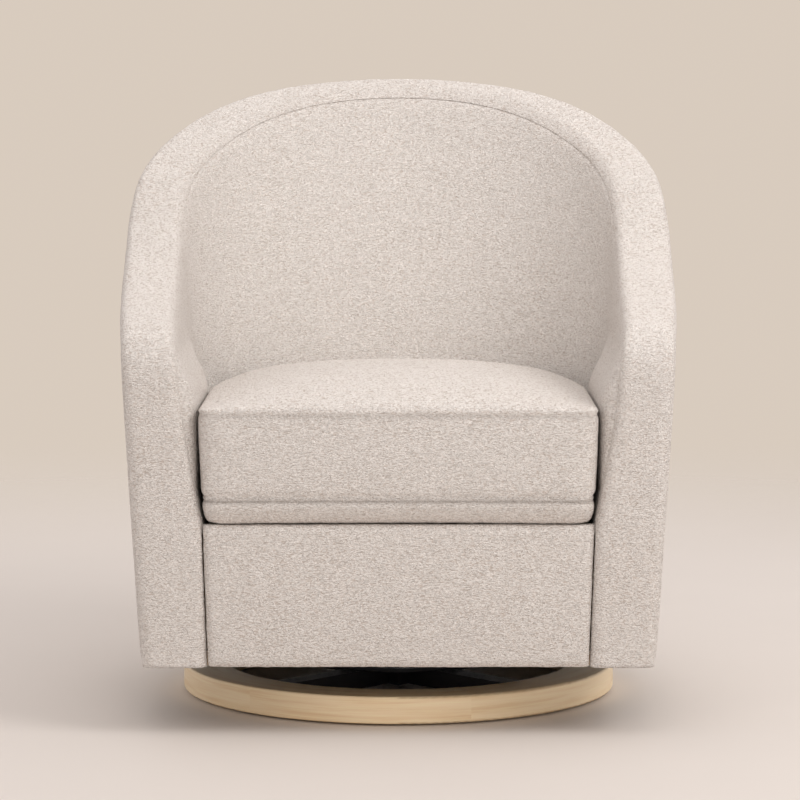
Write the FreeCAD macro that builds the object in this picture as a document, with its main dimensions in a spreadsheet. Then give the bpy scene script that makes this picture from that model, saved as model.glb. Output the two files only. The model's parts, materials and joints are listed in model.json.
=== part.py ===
"""Swivel glider nursery chair: a barrel armchair on a swinging glide frame, a ball-bearing swivel
and a round wooden floor ring.

The frame has +Z up and the sitter faces -Y. The origin is on the floor, on the swivel axis.
Every piece is a separate solid, written to parts/NODE.step. All lengths are in millimetres.
"""

import FreeCAD
import Part
import math
import os

import Sketcher

Vector = FreeCAD.Vector
Rotation = FreeCAD.Rotation
Placement = FreeCAD.Placement

doc = FreeCAD.newDocument("swivel_glider")
sheet = doc.addObject("Spreadsheet::Sheet", "sizes")

# ---------------------------------------------------------------------------------------------
# Driving dimensions
# ---------------------------------------------------------------------------------------------

DRIVING = [
    # Floor ring and its glides
    ("glide_height", 3, "felt glide under the ring"),
    ("glide_radius", 12.5, "felt glide"),
    ("ring_outer", 305, "outer radius of the wooden ring"),
    ("ring_inner", 245, "inner radius of the wooden ring"),
    ("ring_height", 37, "height of the wooden ring"),
    ("ring_edge", 3, "rounding of the ring's edges"),
    # Steel spider inside the ring
    ("spoke_width", 30, "rectangular tube of the spider"),
    ("spoke_height", 25, "rectangular tube of the spider"),
    ("spoke_base", 8, "underside of the spokes above the floor"),
    ("spoke_wall", 2.5, "wall of the rectangular tube"),
    ("hub_side", 70, "square hub block"),
    ("tab_thickness", 4, "tab welded under each spoke"),
    ("tab_length", 66, "tab, half of it under the ring"),
    ("tab_reach", 290, "outer end of the tab from the axis"),
    ("disc_radius", 85, "disc welded on top of the spider"),
    ("disc_thickness", 5, "disc welded on top of the spider"),
    # Ball-bearing swivel
    ("race_outer", 75, "outer radius of both races"),
    ("race_inner", 55, "inner radius of both races"),
    ("race_thickness", 6, "each race"),
    ("ball_radius", 4, "bearing ball"),
    ("ball_circle", 65, "radius of the ball circle"),
    ("ball_gap", 6, "space between the races"),
    ("ball_count", 16, "number of balls"),
    ("cage_thickness", 2, "ball cage"),
    ("king_radius", 8, "shank of the king bolt"),
    # Swinging frame that turns on the bearing
    ("top_plate_x", 240, "swivel top plate across the chair"),
    ("top_plate_y", 284, "swivel top plate front to back"),
    ("top_plate_thickness", 5, "swivel top plate"),
    ("cross_bar_width", 44, "flat bar under each pair of hangers"),
    ("cross_bar_thickness", 6, "flat bar under each pair of hangers"),
    ("pivot_y", 120, "pivots in front of and behind the axis"),
    ("hanger_x", 174, "outer face of the hangers from the axis"),
    ("hanger_thickness", 4, "hanger plate"),
    ("hanger_width", 36, "hanger plate"),
    ("hanger_foot", 40, "foot of the hanger"),
    ("upper_pivot_z", 214, "upper pivot above the floor"),
    ("link_length", 110, "between a link's two pivots"),
    ("link_thickness", 6, "link plate"),
    ("link_eye", 16, "outer radius of the link's eyes"),
    ("link_x", 187, "middle of the link plates from the axis"),
    ("bush_radius", 11, "outer radius of the bushes in the links"),
    ("bush_width", 10, "length of the bushes"),
    ("pin_radius", 5, "pivot bolts and pins"),
    ("running_gap", 0.06, "radial clearance of a turning pin"),
    # Carriage bolted under the seat
    ("carriage_x", 208, "inner face of the carriage web from the axis"),
    ("carriage_web", 4, "thickness of the carriage angle"),
    ("carriage_flange", 42, "width of the carriage flange"),
    ("carriage_length", 380, "carriage angle front to back"),
    ("carriage_rise", 34, "height of the carriage angle"),
    ("tie_radius", 8, "cross tie of the carriage"),
    ("tie_y", 34, "cross ties in front of and behind the axis"),
    # Seat box
    ("body_base", 88, "underside of the upholstered body"),
    ("plate_gap", 4, "bottom plate above the underside"),
    ("plate_thickness", 18, "plywood bottom plate"),
    ("box_half_width", 248, "outer face of the side rails"),
    ("board", 22, "thickness of the seat box boards"),
    ("box_front", -350, "front face of the front rail"),
    ("box_rear", 222, "rear face of the rear rail"),
    ("front_rail_top", 262, "top of the front and rear rails"),
    ("side_rail_top", 244, "top of the side rails"),
    ("block_side", 40, "corner block leg"),
    ("block_height", 55, "corner block"),
    ("spring_wire", 2, "radius of the spring wire"),
    ("spring_z", 253, "middle of the spring wire"),
    ("spring_half_wave", 20, "half width of a sinuous spring"),
    ("spring_count", 6, "springs across the seat"),
    ("spring_spacing", 74, "between two springs"),
    ("spring_bars", 21, "cross bars in a spring"),
    ("felt_thickness", 4, "felt over the springs"),
    ("deck_thickness", 18, "padded deck"),
    # Upholstered body
    ("cover_thickness", 6, "outside cover with its lining"),
    ("pad_thickness", 30, "padding of the inside back and arms"),
    ("band_thickness", 24, "padded band over the arm fronts and the rim"),
    ("rim_rail", 16, "bent wooden rail under the band"),
    ("rib", 18, "thickness of the plywood ribs"),
    ("rib_gap", 0.6, "room between the ribs and the upholstery"),
    ("lap_rail_z", 400, "underside of the lap rail"),
    ("lap_rail_width", 16, "lap rail, let into the ribs from outside"),
    ("loft_top", 880, "height of the upper section of the barrel"),
    ("apron_gap", 1.5, "between the apron and the arms"),
    ("apron_edge", 10, "rounding of the apron's upper and lower edges"),
    ("apron_front", -378, "front face of the apron"),
    ("apron_top", 277, "top of the apron"),
    # Loose seat cushion
    ("cushion_base", 283, "underside of the cushion"),
    ("cushion_crown", 470, "highest point of the cushion"),
    ("cushion_fall", 28, "fall of the crown towards each edge"),
    ("cushion_front", -394, "front of the cushion"),
    ("cushion_rear", 156, "rear of the cushion"),
    ("cushion_low_width", 251, "half width at the underside"),
    ("cushion_high_width", 264, "half width at the top"),
    ("cushion_centre", -110, "where the cushion's rear curve begins"),
    ("cushion_corner", 22, "rounding of the front corners"),
    ("cushion_cloth", 3, "cushion cover"),
    ("core_gap", 5, "foam core inside the cover"),
    ("cambric", 1, "black dust cloth"),
]

for row, (alias, value, note) in enumerate(DRIVING, start=1):
    sheet.set(f"A{row}", note)
    sheet.set(f"B{row}", str(value))
    sheet.setAlias(f"B{row}", alias)
doc.recompute()


def size(alias):
    """One driving dimension, as a number."""
    return float(sheet.get(alias))


# Heights of the stack, as expressions of the sheet's cells
RING_TOP = "(sizes.glide_height + sizes.ring_height)"
SPOKE_TOP = "(sizes.spoke_base + sizes.spoke_height)"
LOWER_RACE = f"({SPOKE_TOP} + sizes.disc_thickness)"
BALL_Z = f"({LOWER_RACE} + sizes.race_thickness + sizes.ball_gap / 2)"
UPPER_RACE = f"({LOWER_RACE} + sizes.race_thickness + sizes.ball_gap)"
TOP_PLATE = f"({UPPER_RACE} + sizes.race_thickness)"
CROSS_BAR = f"({TOP_PLATE} + sizes.top_plate_thickness)"
HANGER_FOOT = f"({CROSS_BAR} + sizes.cross_bar_thickness)"
LOWER_PIVOT = "(sizes.upper_pivot_z - sizes.link_length)"
PLATE_BASE = "(sizes.body_base + sizes.plate_gap)"
BOX_BASE = f"({PLATE_BASE} + sizes.plate_thickness)"
TURN_RADIUS = "(sizes.pin_radius + sizes.running_gap)"

SIDES = (("left", -1), ("right", 1))
ENDS = (("front", -1), ("rear", 1))

sub_parts = []


def keep(piece, label):
    """Marks an object as one of the chair's sub-parts and gives it the name of its file."""
    piece.Label = label
    sub_parts.append(piece)
    return piece


# ---------------------------------------------------------------------------------------------
# Small builders that bind their sizes to the sheet
# ---------------------------------------------------------------------------------------------

AXES = {
    "X": Rotation(Vector(0, 1, 0), 90),
    "Y": Rotation(Vector(1, 0, 0), -90),
    "Z": Rotation(),
}


def place(piece, x="0", y="0", z="0"):
    """Binds a piece's position to expressions of the sheet."""
    piece.setExpression("Placement.Base.x", str(x))
    piece.setExpression("Placement.Base.y", str(y))
    piece.setExpression("Placement.Base.z", str(z))
    return piece


def box(name, length, width, height, x, y, z, turn=0):
    """A block whose corner is at x, y, z, turned about Z by so many degrees."""
    piece = doc.addObject("Part::Box", name)
    piece.setExpression("Length", str(length))
    piece.setExpression("Width", str(width))
    piece.setExpression("Height", str(height))
    piece.Placement = Placement(Vector(), Rotation(Vector(0, 0, 1), turn))
    return place(piece, x, y, z)


def cylinder(name, radius, height, x, y, z, axis="Z"):
    """A cylinder that starts at x, y, z and runs along an axis."""
    piece = doc.addObject("Part::Cylinder", name)
    piece.setExpression("Radius", str(radius))
    piece.setExpression("Height", str(height))
    piece.Placement = Placement(Vector(), AXES[axis])
    return place(piece, x, y, z)


def hexagon(name, across, height, x, y, z, axis="Z"):
    """A hexagonal nut or head, across its corners, that starts at x, y, z."""
    piece = doc.addObject("Part::Prism", name)
    piece.Polygon = 6
    piece.setExpression("Circumradius", str(across))
    piece.setExpression("Height", str(height))
    piece.Placement = Placement(Vector(), AXES[axis])
    return place(piece, x, y, z)


def fuse(name, pieces):
    """Several solids welded into one."""
    piece = doc.addObject("Part::MultiFuse", name)
    piece.Shapes = list(pieces)
    piece.Refine = True
    return piece


def group(name, pieces):
    """Separate solids that share one node."""
    piece = doc.addObject("Part::Compound", name)
    piece.Links = list(pieces)
    return piece


def cut(name, base, tools):
    """A solid with tools taken out of it."""
    tools = list(tools)
    piece = doc.addObject("Part::Cut", name)
    piece.Base = base
    piece.Tool = tools[0] if len(tools) == 1 else group(f"{name}_tools", tools)
    return piece


def tube(name, outer, inner, height, x, y, z, axis="Z"):
    """A round tube that starts at x, y, z."""
    shell = cylinder(f"{name}_outer", outer, height, x, y, z, axis)
    bore = cylinder(f"{name}_bore", inner, height, x, y, z, axis)
    return cut(name, shell, [bore])


def body(name):
    """An empty PartDesign body."""
    return doc.addObject("PartDesign::Body", name)


def sketch_on(owner, role, name):
    """A sketch on one of a body's own origin planes."""
    plane = next(f for f in owner.Origin.OriginFeatures if f.Role == role)
    sketch = owner.newObject("Sketcher::SketchObject", name)
    sketch.AttachmentSupport = (plane, [""])
    sketch.MapMode = "FlatFace"
    return sketch


def limit(sketch, kind, *where, to):
    """Adds a dimension to a sketch and binds it to the sheet."""
    start = float(sheet.evalExpression(to))
    number = sketch.addConstraint(Sketcher.Constraint(kind, *where, start))
    sketch.setExpression(f"Constraints[{number}]", to)


def polygon(sketch, points):
    """Adds a closed polygon whose points are bound to the sheet, each as a pair of expressions."""
    count = len(points)
    rough = [
        (math.cos(2 * math.pi * i / count) * 50, math.sin(2 * math.pi * i / count) * 50)
        for i in range(count)
    ]
    for i in range(count):
        a, b = rough[i], rough[(i + 1) % count]
        sketch.addGeometry(Part.LineSegment(Vector(*a, 0), Vector(*b, 0)), False)
    for i in range(count):
        sketch.addConstraint(Sketcher.Constraint("Coincident", i, 2, (i + 1) % count, 1))
    for i, (x, y) in enumerate(points):
        limit(sketch, "DistanceX", -1, 1, i, 1, to=x)
        limit(sketch, "DistanceY", -1, 1, i, 1, to=y)


# ---------------------------------------------------------------------------------------------
# Floor ring and spider: the part that stands still
# ---------------------------------------------------------------------------------------------

SPOKE_ANGLES = (45, 135, 225, 315)
GLIDE_ANGLES = [22.5 + 45 * i for i in range(8)]


def floor_ring():
    """Solid wooden ring with rounded edges and a pocket under it for each tab of the spider."""
    ring = body("ring_body")
    profile = sketch_on(ring, "XZ_Plane", "ring_profile")
    low, high = "sizes.glide_height", RING_TOP
    polygon(
        profile,
        [
            ("sizes.ring_inner", low),
            ("sizes.ring_outer", low),
            ("sizes.ring_outer", high),
            ("sizes.ring_inner", high),
        ],
    )
    turned = ring.newObject("PartDesign::Revolution", "ring_turned")
    turned.Profile = profile
    turned.ReferenceAxis = (profile, ["V_Axis"])
    turned.Angle = 360
    doc.recompute()
    rounded = ring.newObject("PartDesign::Fillet", "ring_rounded")
    edges = [
        f"Edge{i + 1}"
        for i, edge in enumerate(turned.Shape.Edges)
        if isinstance(edge.Curve, Part.Circle) and edge.Curve.Axis.isParallel(Vector(0, 0, 1), 0.01)
    ]
    rounded.Base = (turned, edges)
    rounded.setExpression("Radius", "sizes.ring_edge")
    doc.recompute()

    pockets = []
    for i, angle in enumerate(SPOKE_ANGLES):
        start = "(sizes.ring_inner - 10)"
        half = "(sizes.spoke_width / 2 + 0.5)"
        pockets.append(
            box(
                f"ring_pocket_{i}",
                f"sizes.tab_reach + 1 - {start}",
                f"2 * {half}",
                "sizes.spoke_base + 0.2",
                f"{start} * cos({angle} deg) + {half} * sin({angle} deg)",
                f"{start} * sin({angle} deg) - {half} * cos({angle} deg)",
                "0",
                turn=angle,
            )
        )
        for j, (radius, _) in enumerate(TAB_SCREWS):
            pockets.append(
                cylinder(
                    f"ring_pilot_{i}_{j}",
                    "2.6",
                    "32",
                    f"{radius} * cos({angle} deg)",
                    f"{radius} * sin({angle} deg)",
                    "0",
                )
            )
    return keep(cut("base_ring", ring, pockets), "base_ring")


TAB_SCREWS = ((258, "inner"), (278, "outer"))


def ring_glides():
    """Felt glides under the ring."""
    pads = [
        cylinder(
            f"glide_{i}",
            "sizes.glide_radius",
            "sizes.glide_height",
            f"(sizes.ring_outer + sizes.ring_inner) / 2 * cos({angle} deg)",
            f"(sizes.ring_outer + sizes.ring_inner) / 2 * sin({angle} deg)",
            "0",
        )
        for i, angle in enumerate(GLIDE_ANGLES)
    ]
    keep(group("ring_glides", pads), "ring_glides")


def spoke_frame(start, angle, half):
    """Corner of a radial bar that starts so far from the axis."""
    x = f"{start} * cos({angle} deg) + {half} * sin({angle} deg)"
    y = f"{start} * sin({angle} deg) - {half} * cos({angle} deg)"
    return x, y


def spider():
    """Square hub, four rectangular tubes, their tabs and the disc that carries the bearing."""
    hub_half = "sizes.hub_side / 2"
    hub = box(
        "hub_block",
        "sizes.hub_side",
        "sizes.hub_side",
        "sizes.spoke_height",
        "0",
        "-sizes.hub_side * cos(45 deg)",
        "sizes.spoke_base",
        turn=45,
    )
    bore = cylinder("hub_bore", "sizes.king_radius + 0.2", "60", "0", "0", "0")
    keep(cut("spider_hub", hub, [bore]), "spider_hub")

    tubes, tabs, screws = [], [], []
    for i, angle in enumerate(SPOKE_ANGLES):
        half = "sizes.spoke_width / 2"
        x, y = spoke_frame(hub_half, angle, half)
        length = "sizes.ring_inner - 1 - sizes.hub_side / 2"
        outer = box(f"spoke_outer_{i}", length, "sizes.spoke_width", "sizes.spoke_height",
                    x, y, "sizes.spoke_base", turn=angle)
        inside = "(sizes.spoke_width / 2 - sizes.spoke_wall)"
        x, y = spoke_frame(hub_half, angle, inside)
        hollow = box(f"spoke_hollow_{i}", length, f"2 * {inside}",
                     "sizes.spoke_height - 2 * sizes.spoke_wall",
                     x, y, "sizes.spoke_base + sizes.spoke_wall", turn=angle)
        tubes.append(cut(f"spoke_{i}", outer, [hollow]))

        x, y = spoke_frame("(sizes.tab_reach - sizes.tab_length)", angle, half)
        blank = box(f"tab_blank_{i}", "sizes.tab_length", "sizes.spoke_width", "sizes.tab_thickness",
                    x, y, "sizes.spoke_base - sizes.tab_thickness", turn=angle)
        holes = []
        for j, (radius, _) in enumerate(TAB_SCREWS):
            x, y = f"{radius} * cos({angle} deg)", f"{radius} * sin({angle} deg)"
            holes.append(cylinder(f"tab_hole_{i}_{j}", "2.7", "20", x, y, "0"))
            head = cylinder(f"screw_head_{i}_{j}", "4", "1.2",
                            x, y, "sizes.spoke_base - sizes.tab_thickness - 1.2")
            shank = cylinder(f"screw_shank_{i}_{j}", "2.5", "28",
                             x, y, "sizes.spoke_base - sizes.tab_thickness - 1.2")
            screws.append(fuse(f"tab_screw_{i}_{j}", [head, shank]))
        tabs.append(cut(f"tab_{i}", blank, holes))
    keep(group("spider_spokes", tubes), "spider_spokes")
    keep(group("spider_tabs", tabs), "spider_tabs")
    keep(group("tab_screws", screws), "tab_screws")
    keep(tube("bearing_disc", "sizes.disc_radius", "sizes.king_radius + 0.2",
              "sizes.disc_thickness", "0", "0", SPOKE_TOP), "bearing_disc")


# ---------------------------------------------------------------------------------------------
# Swivel bearing
# ---------------------------------------------------------------------------------------------


def bearing():
    """Two races, sixteen balls and their cage, and the king bolt through the middle."""
    for label, low in (("bearing_lower_race", LOWER_RACE), ("bearing_upper_race", UPPER_RACE)):
        blank = tube(f"{label}_blank", "sizes.race_outer", "sizes.race_inner",
                     "sizes.race_thickness", "0", "0", low)
        groove = doc.addObject("Part::Torus", f"{label}_groove")
        groove.setExpression("Radius1", "sizes.ball_circle")
        groove.setExpression("Radius2", "sizes.ball_radius + 0.1")
        place(groove, z=BALL_Z)
        keep(cut(label, blank, [groove]), label)

    balls, windows = [], []
    for i in range(int(size("ball_count"))):
        angle = 360 / size("ball_count") * i
        x = f"sizes.ball_circle * cos({angle} deg)"
        y = f"sizes.ball_circle * sin({angle} deg)"
        ball = doc.addObject("Part::Sphere", f"ball_{i}")
        ball.setExpression("Radius", "sizes.ball_radius")
        balls.append(place(ball, x, y, BALL_Z))
        windows.append(cylinder(f"cage_window_{i}", "sizes.ball_radius + 0.2", "20",
                                x, y, f"{BALL_Z} - 10"))
    keep(group("bearing_balls", balls), "bearing_balls")
    ring = tube("cage_ring", "sizes.race_outer - 2", "sizes.race_inner + 2",
                "sizes.cage_thickness", "0", "0", f"{BALL_Z} - sizes.cage_thickness / 2")
    keep(cut("bearing_cage", ring, windows), "bearing_cage")

    # The king bolt is turned from one profile: a thin head under the hub and a long shank.
    bolt = body("king_bolt_body")
    profile = sketch_on(bolt, "XZ_Plane", "king_bolt_profile")
    head_low, head_high = "(sizes.spoke_base - 4)", "sizes.spoke_base"
    top = f"({CROSS_BAR} + 18)"
    polygon(
        profile,
        [
            ("0", head_low),
            ("15", head_low),
            ("15", head_high),
            ("sizes.king_radius", head_high),
            ("sizes.king_radius", f"{top} - 1.5"),
            ("sizes.king_radius - 1.5", top),
            ("0", top),
        ],
    )
    turned = bolt.newObject("PartDesign::Revolution", "king_bolt_turned")
    turned.Profile = profile
    turned.ReferenceAxis = (profile, ["V_Axis"])
    turned.Angle = 360
    keep(bolt, "king_bolt")

    washer = tube("king_washer", "17", "sizes.king_radius + 0.2", "2", "0", "0", f"{CROSS_BAR} + 0.3")
    nut_blank = hexagon("king_nut_blank", "14.5", "11", "0", "0", f"{CROSS_BAR} + 2.3")
    nut_bore = cylinder("king_nut_bore", "sizes.king_radius + 0.02", "30", "0", "0", f"{CROSS_BAR}")
    nut = cut("king_nut_hex", nut_blank, [nut_bore])
    keep(group("king_nut", [washer, nut]), "king_nut")


# ---------------------------------------------------------------------------------------------
# Frame that turns on the bearing, and the hangers that stand on it
# ---------------------------------------------------------------------------------------------


def turning_frame():
    """Top plate, two cross bars, four hangers and the bolts that the links swing on."""
    plate = box("top_plate_blank", "sizes.top_plate_x", "sizes.top_plate_y",
                "sizes.top_plate_thickness", "-sizes.top_plate_x / 2", "-sizes.top_plate_y / 2",
                TOP_PLATE)
    bore = cylinder("top_plate_bore", "sizes.king_radius + sizes.running_gap", "40",
                    "0", "0", f"{TOP_PLATE} - 10")
    tools = [bore]
    screws = []
    for side, sx in SIDES:
        for end, sy in ENDS:
            x, y = f"{sx} * 90", f"{sy} * sizes.pivot_y"
            tools.append(cylinder(f"plate_hole_{side}_{end}", "4.2", "40", x, y, f"{TOP_PLATE} - 10"))
            shank = cylinder(f"frame_screw_shank_{side}_{end}", "4", "20", x, y, f"{TOP_PLATE} - 4")
            head = hexagon(f"frame_screw_head_{side}_{end}", "7.5", "5", x, y, HANGER_FOOT)
            nut = hexagon(f"frame_screw_nut_{side}_{end}", "7.5", "4", x, y, f"{TOP_PLATE} - 4")
            screws.append(fuse(f"frame_screw_{side}_{end}", [shank, head, nut]))
    keep(cut("swivel_top_plate", plate, tools), "swivel_top_plate")
    keep(group("frame_screws", screws), "frame_screws")

    bars = []
    for end, sy in ENDS:
        bar = box(f"cross_bar_blank_{end}", "2 * sizes.hanger_x", "sizes.cross_bar_width",
                  "sizes.cross_bar_thickness", "-sizes.hanger_x",
                  f"{sy} * sizes.pivot_y - sizes.cross_bar_width / 2", CROSS_BAR)
        holes = [
            cylinder(f"cross_bar_hole_{end}_{side}", "4.2", "40", f"{sx} * 90",
                     f"{sy} * sizes.pivot_y", f"{CROSS_BAR} - 10")
            for side, sx in SIDES
        ]
        bars.append(cut(f"cross_bar_{end}", bar, holes))
    keep(group("cross_bars", bars), "cross_bars")

    bolts, nuts, spacers = [], [], []
    for side, sx in SIDES:
        for end, sy in ENDS:
            name = f"{end}_{side}"
            y = f"{sy} * sizes.pivot_y"
            keep(hanger(name, sx, y), f"hanger_{name}")
            head = hexagon(f"pivot_head_{name}", "9", "6",
                           along(sx, "sizes.hanger_x - sizes.hanger_thickness - 6", "6"),
                           y, "sizes.upper_pivot_z", "X")
            shank = cylinder(f"pivot_shank_{name}", "sizes.pin_radius", "33",
                             along(sx, "sizes.hanger_x - sizes.hanger_thickness - 6", "33"),
                             y, "sizes.upper_pivot_z", "X")
            bolts.append(fuse(f"pivot_bolt_{name}", [head, shank]))
            spacers.append(tube(f"upper_spacer_{name}", "8", TURN_RADIUS, "7.6",
                                along(sx, "sizes.hanger_x", "7.6"), y, "sizes.upper_pivot_z", "X"))
            blank = hexagon(f"pivot_nut_blank_{name}", "9", "7",
                            along(sx, "sizes.link_x + sizes.bush_width / 2 + 0.5", "7"),
                            y, "sizes.upper_pivot_z", "X")
            thread = cylinder(f"pivot_nut_bore_{name}", "sizes.pin_radius + 0.02", "60",
                              along(sx, "sizes.hanger_x", "60"), y, "sizes.upper_pivot_z", "X")
            nuts.append(cut(f"pivot_nut_{name}", blank, [thread]))
    keep(group("upper_pivot_bolts", bolts), "upper_pivot_bolts")
    keep(group("upper_spacers", spacers), "upper_spacers")
    keep(group("upper_pivot_nuts", nuts), "upper_pivot_nuts")


def along(side, inner, length):
    """Start of something that lies along X on one side, from its inner face outwards."""
    return f"{inner}" if side > 0 else f"-({inner}) - ({length})"


def hanger(name, sx, y):
    """Steel angle: a foot bolted to the cross bar and an upright with a round top."""
    top = "sizes.upper_pivot_z"
    half = "sizes.hanger_width / 2"
    foot = box(f"hanger_foot_{name}", "sizes.hanger_foot", "sizes.hanger_width",
               "sizes.hanger_thickness", along(sx, "sizes.hanger_x - sizes.hanger_foot",
                                               "sizes.hanger_foot"), f"{y} - {half}", HANGER_FOOT)
    upright = box(f"hanger_upright_{name}", "sizes.hanger_thickness", "sizes.hanger_width",
                  f"{top} - {HANGER_FOOT}",
                  along(sx, "sizes.hanger_x - sizes.hanger_thickness", "sizes.hanger_thickness"),
                  f"{y} - {half}", HANGER_FOOT)
    crown = cylinder(f"hanger_crown_{name}", half, "sizes.hanger_thickness",
                     along(sx, "sizes.hanger_x - sizes.hanger_thickness", "sizes.hanger_thickness"),
                     y, top, "X")
    bore = cylinder(f"hanger_bore_{name}", TURN_RADIUS, "40",
                    along(sx, "sizes.hanger_x - 20", "40"), y, top, "X")
    blank = fuse(f"hanger_blank_{name}", [foot, upright, crown])
    return cut(f"hanger_{name}", blank, [bore])


# ---------------------------------------------------------------------------------------------
# Swinging links
# ---------------------------------------------------------------------------------------------


def link(end, side, sx, sy):
    """Flat link with a round eye at each end, padded from one sketch, and its two bushes."""
    name = f"{end}_{side}"
    plate = body(f"link_body_{name}")
    outline = sketch_on(plate, "YZ_Plane", f"link_outline_{name}")
    eye, reach, bush = size("link_eye"), size("link_length") / 2, size("bush_radius")
    top, bottom = Vector(0, reach, 0), Vector(0, -reach, 0)
    normal = Vector(0, 0, 1)
    outline.addGeometry(Part.ArcOfCircle(Part.Circle(top, normal, eye), 0, math.pi), False)
    outline.addGeometry(Part.ArcOfCircle(Part.Circle(bottom, normal, eye), math.pi, 2 * math.pi), False)
    outline.addGeometry(Part.LineSegment(Vector(-eye, reach, 0), Vector(-eye, -reach, 0)), False)
    outline.addGeometry(Part.LineSegment(Vector(eye, -reach, 0), Vector(eye, reach, 0)), False)
    outline.addGeometry(Part.Circle(top, normal, bush), False)
    outline.addGeometry(Part.Circle(bottom, normal, bush), False)
    for first, start, second, end_point in ((0, 2, 2, 1), (2, 2, 1, 1), (1, 2, 3, 1), (3, 2, 0, 1)):
        outline.addConstraint(Sketcher.Constraint("Tangent", first, start, second, end_point))
    outline.addConstraint(Sketcher.Constraint("Coincident", 4, 3, 0, 3))
    outline.addConstraint(Sketcher.Constraint("Coincident", 5, 3, 1, 3))
    outline.addConstraint(Sketcher.Constraint("PointOnObject", 0, 3, -2))
    outline.addConstraint(Sketcher.Constraint("PointOnObject", 1, 3, -2))
    limit(outline, "Radius", 0, to="sizes.link_eye")
    limit(outline, "Radius", 4, to="sizes.bush_radius")
    limit(outline, "Radius", 5, to="sizes.bush_radius")
    limit(outline, "DistanceY", -1, 1, 0, 3, to="sizes.link_length / 2")
    limit(outline, "DistanceY", 1, 3, -1, 1, to="sizes.link_length / 2")
    pad = plate.newObject("PartDesign::Pad", f"link_pad_{name}")
    pad.Profile = outline
    pad.setExpression("Length", "sizes.link_thickness")
    pad.Midplane = True
    place(plate, f"{sx} * sizes.link_x", f"{sy} * sizes.pivot_y",
          "sizes.upper_pivot_z - sizes.link_length / 2")
    keep(plate, f"link_{name}")

    bushes = [
        tube(f"bush_{name}_{level}", "sizes.bush_radius - 0.02", TURN_RADIUS, "sizes.bush_width",
             along(sx, "sizes.link_x - sizes.bush_width / 2", "sizes.bush_width"),
             f"{sy} * sizes.pivot_y", z, "X")
        for level, z in (("upper", "sizes.upper_pivot_z"), ("lower", LOWER_PIVOT))
    ]
    keep(group(f"bushes_{name}", bushes), f"bushes_{name}")


# ---------------------------------------------------------------------------------------------
# Carriage that hangs on the links and is bolted under the seat
# ---------------------------------------------------------------------------------------------


def carriage():
    """Two steel angles, two ties, the lower pins with their spacers and nuts, and the bolts."""
    pins, spacers, nuts, bolts = [], [], [], []
    for side, sx in SIDES:
        rail = body(f"carriage_body_{side}")
        section = sketch_on(rail, "XZ_Plane", f"carriage_section_{side}")
        web, flange = "sizes.carriage_web", "sizes.carriage_flange"
        inner = "sizes.carriage_x"
        low, high = "sizes.body_base", "(sizes.body_base + sizes.carriage_rise)"
        outline = [
            (inner, low),
            (f"{inner} + {flange}", low),
            (f"{inner} + {flange}", f"{low} + {web}"),
            (f"{inner} + {web}", f"{low} + {web}"),
            (f"{inner} + {web}", high),
            (inner, high),
        ]
        polygon(section, [(f"{sx} * ({x})", z) for x, z in outline])
        pad = rail.newObject("PartDesign::Pad", f"carriage_pad_{side}")
        pad.Profile = section
        pad.setExpression("Length", "sizes.carriage_length")
        pad.Midplane = True
        holes = []
        for end, sy in ENDS:
            name = f"{end}_{side}"
            y = f"{sy} * sizes.pivot_y"
            holes.append(cylinder(f"web_hole_{name}", "sizes.pin_radius + 0.02", "20",
                                  along(sx, f"{inner} - 8", "20"), y, LOWER_PIVOT, "X"))
            start = "sizes.link_x - sizes.bush_width / 2 - 6"
            head = cylinder(f"pin_head_{name}", "9", "5.6", along(sx, start, "5.6"),
                            y, LOWER_PIVOT, "X")
            shank = cylinder(f"pin_shank_{name}", "sizes.pin_radius", "45",
                             along(sx, start, "45"), y, LOWER_PIVOT, "X")
            pins.append(fuse(f"lower_pin_{name}", [head, shank]))
            gap = "sizes.link_x + sizes.bush_width / 2 + 0.4"
            spacers.append(tube(f"lower_spacer_{name}", "8", TURN_RADIUS, f"{inner} - ({gap})",
                                along(sx, gap, f"{inner} - ({gap})"), y, LOWER_PIVOT, "X"))
            nut_at = f"{inner} + {web}"
            blank = hexagon(f"lower_nut_blank_{name}", "8.5", "7", along(sx, nut_at, "7"),
                            y, LOWER_PIVOT, "X")
            thread = cylinder(f"lower_nut_bore_{name}", "sizes.pin_radius + 0.02", "60",
                              along(sx, inner, "60"), y, LOWER_PIVOT, "X")
            nuts.append(cut(f"lower_nut_{name}", blank, [thread]))
        for i, y in enumerate((-170, -60, 60, 170)):
            x = f"{sx} * (sizes.box_half_width - sizes.board / 2)"
            holes.append(cylinder(f"flange_hole_{side}_{i}", "4.2", "20", x, str(y),
                                  "sizes.body_base - 5"))
            head = hexagon(f"carriage_bolt_head_{side}_{i}", "7.5", "5", x, str(y),
                           "sizes.body_base - 5")
            shank = cylinder(f"carriage_bolt_shank_{side}_{i}", "4", "75", x, str(y),
                             "sizes.body_base - 5")
            bolts.append(fuse(f"carriage_bolt_{side}_{i}", [head, shank]))
        keep(cut(f"carriage_rail_{side}", rail, holes), f"carriage_rail_{side}")
    keep(group("lower_pivot_pins", pins), "lower_pivot_pins")
    keep(group("lower_spacers", spacers), "lower_spacers")
    keep(group("lower_pivot_nuts", nuts), "lower_pivot_nuts")
    keep(group("carriage_bolts", bolts), "carriage_bolts")
    ties = [
        cylinder(f"tie_{end}", "sizes.tie_radius", "2 * sizes.carriage_x", "-sizes.carriage_x",
                 f"{sy} * sizes.tie_y", "sizes.body_base + sizes.carriage_rise / 2", "X")
        for end, sy in ENDS
    ]
    keep(group("carriage_ties", ties), "carriage_ties")


# ---------------------------------------------------------------------------------------------
# Shape of the barrel, shared by everything upholstered
# ---------------------------------------------------------------------------------------------

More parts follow.
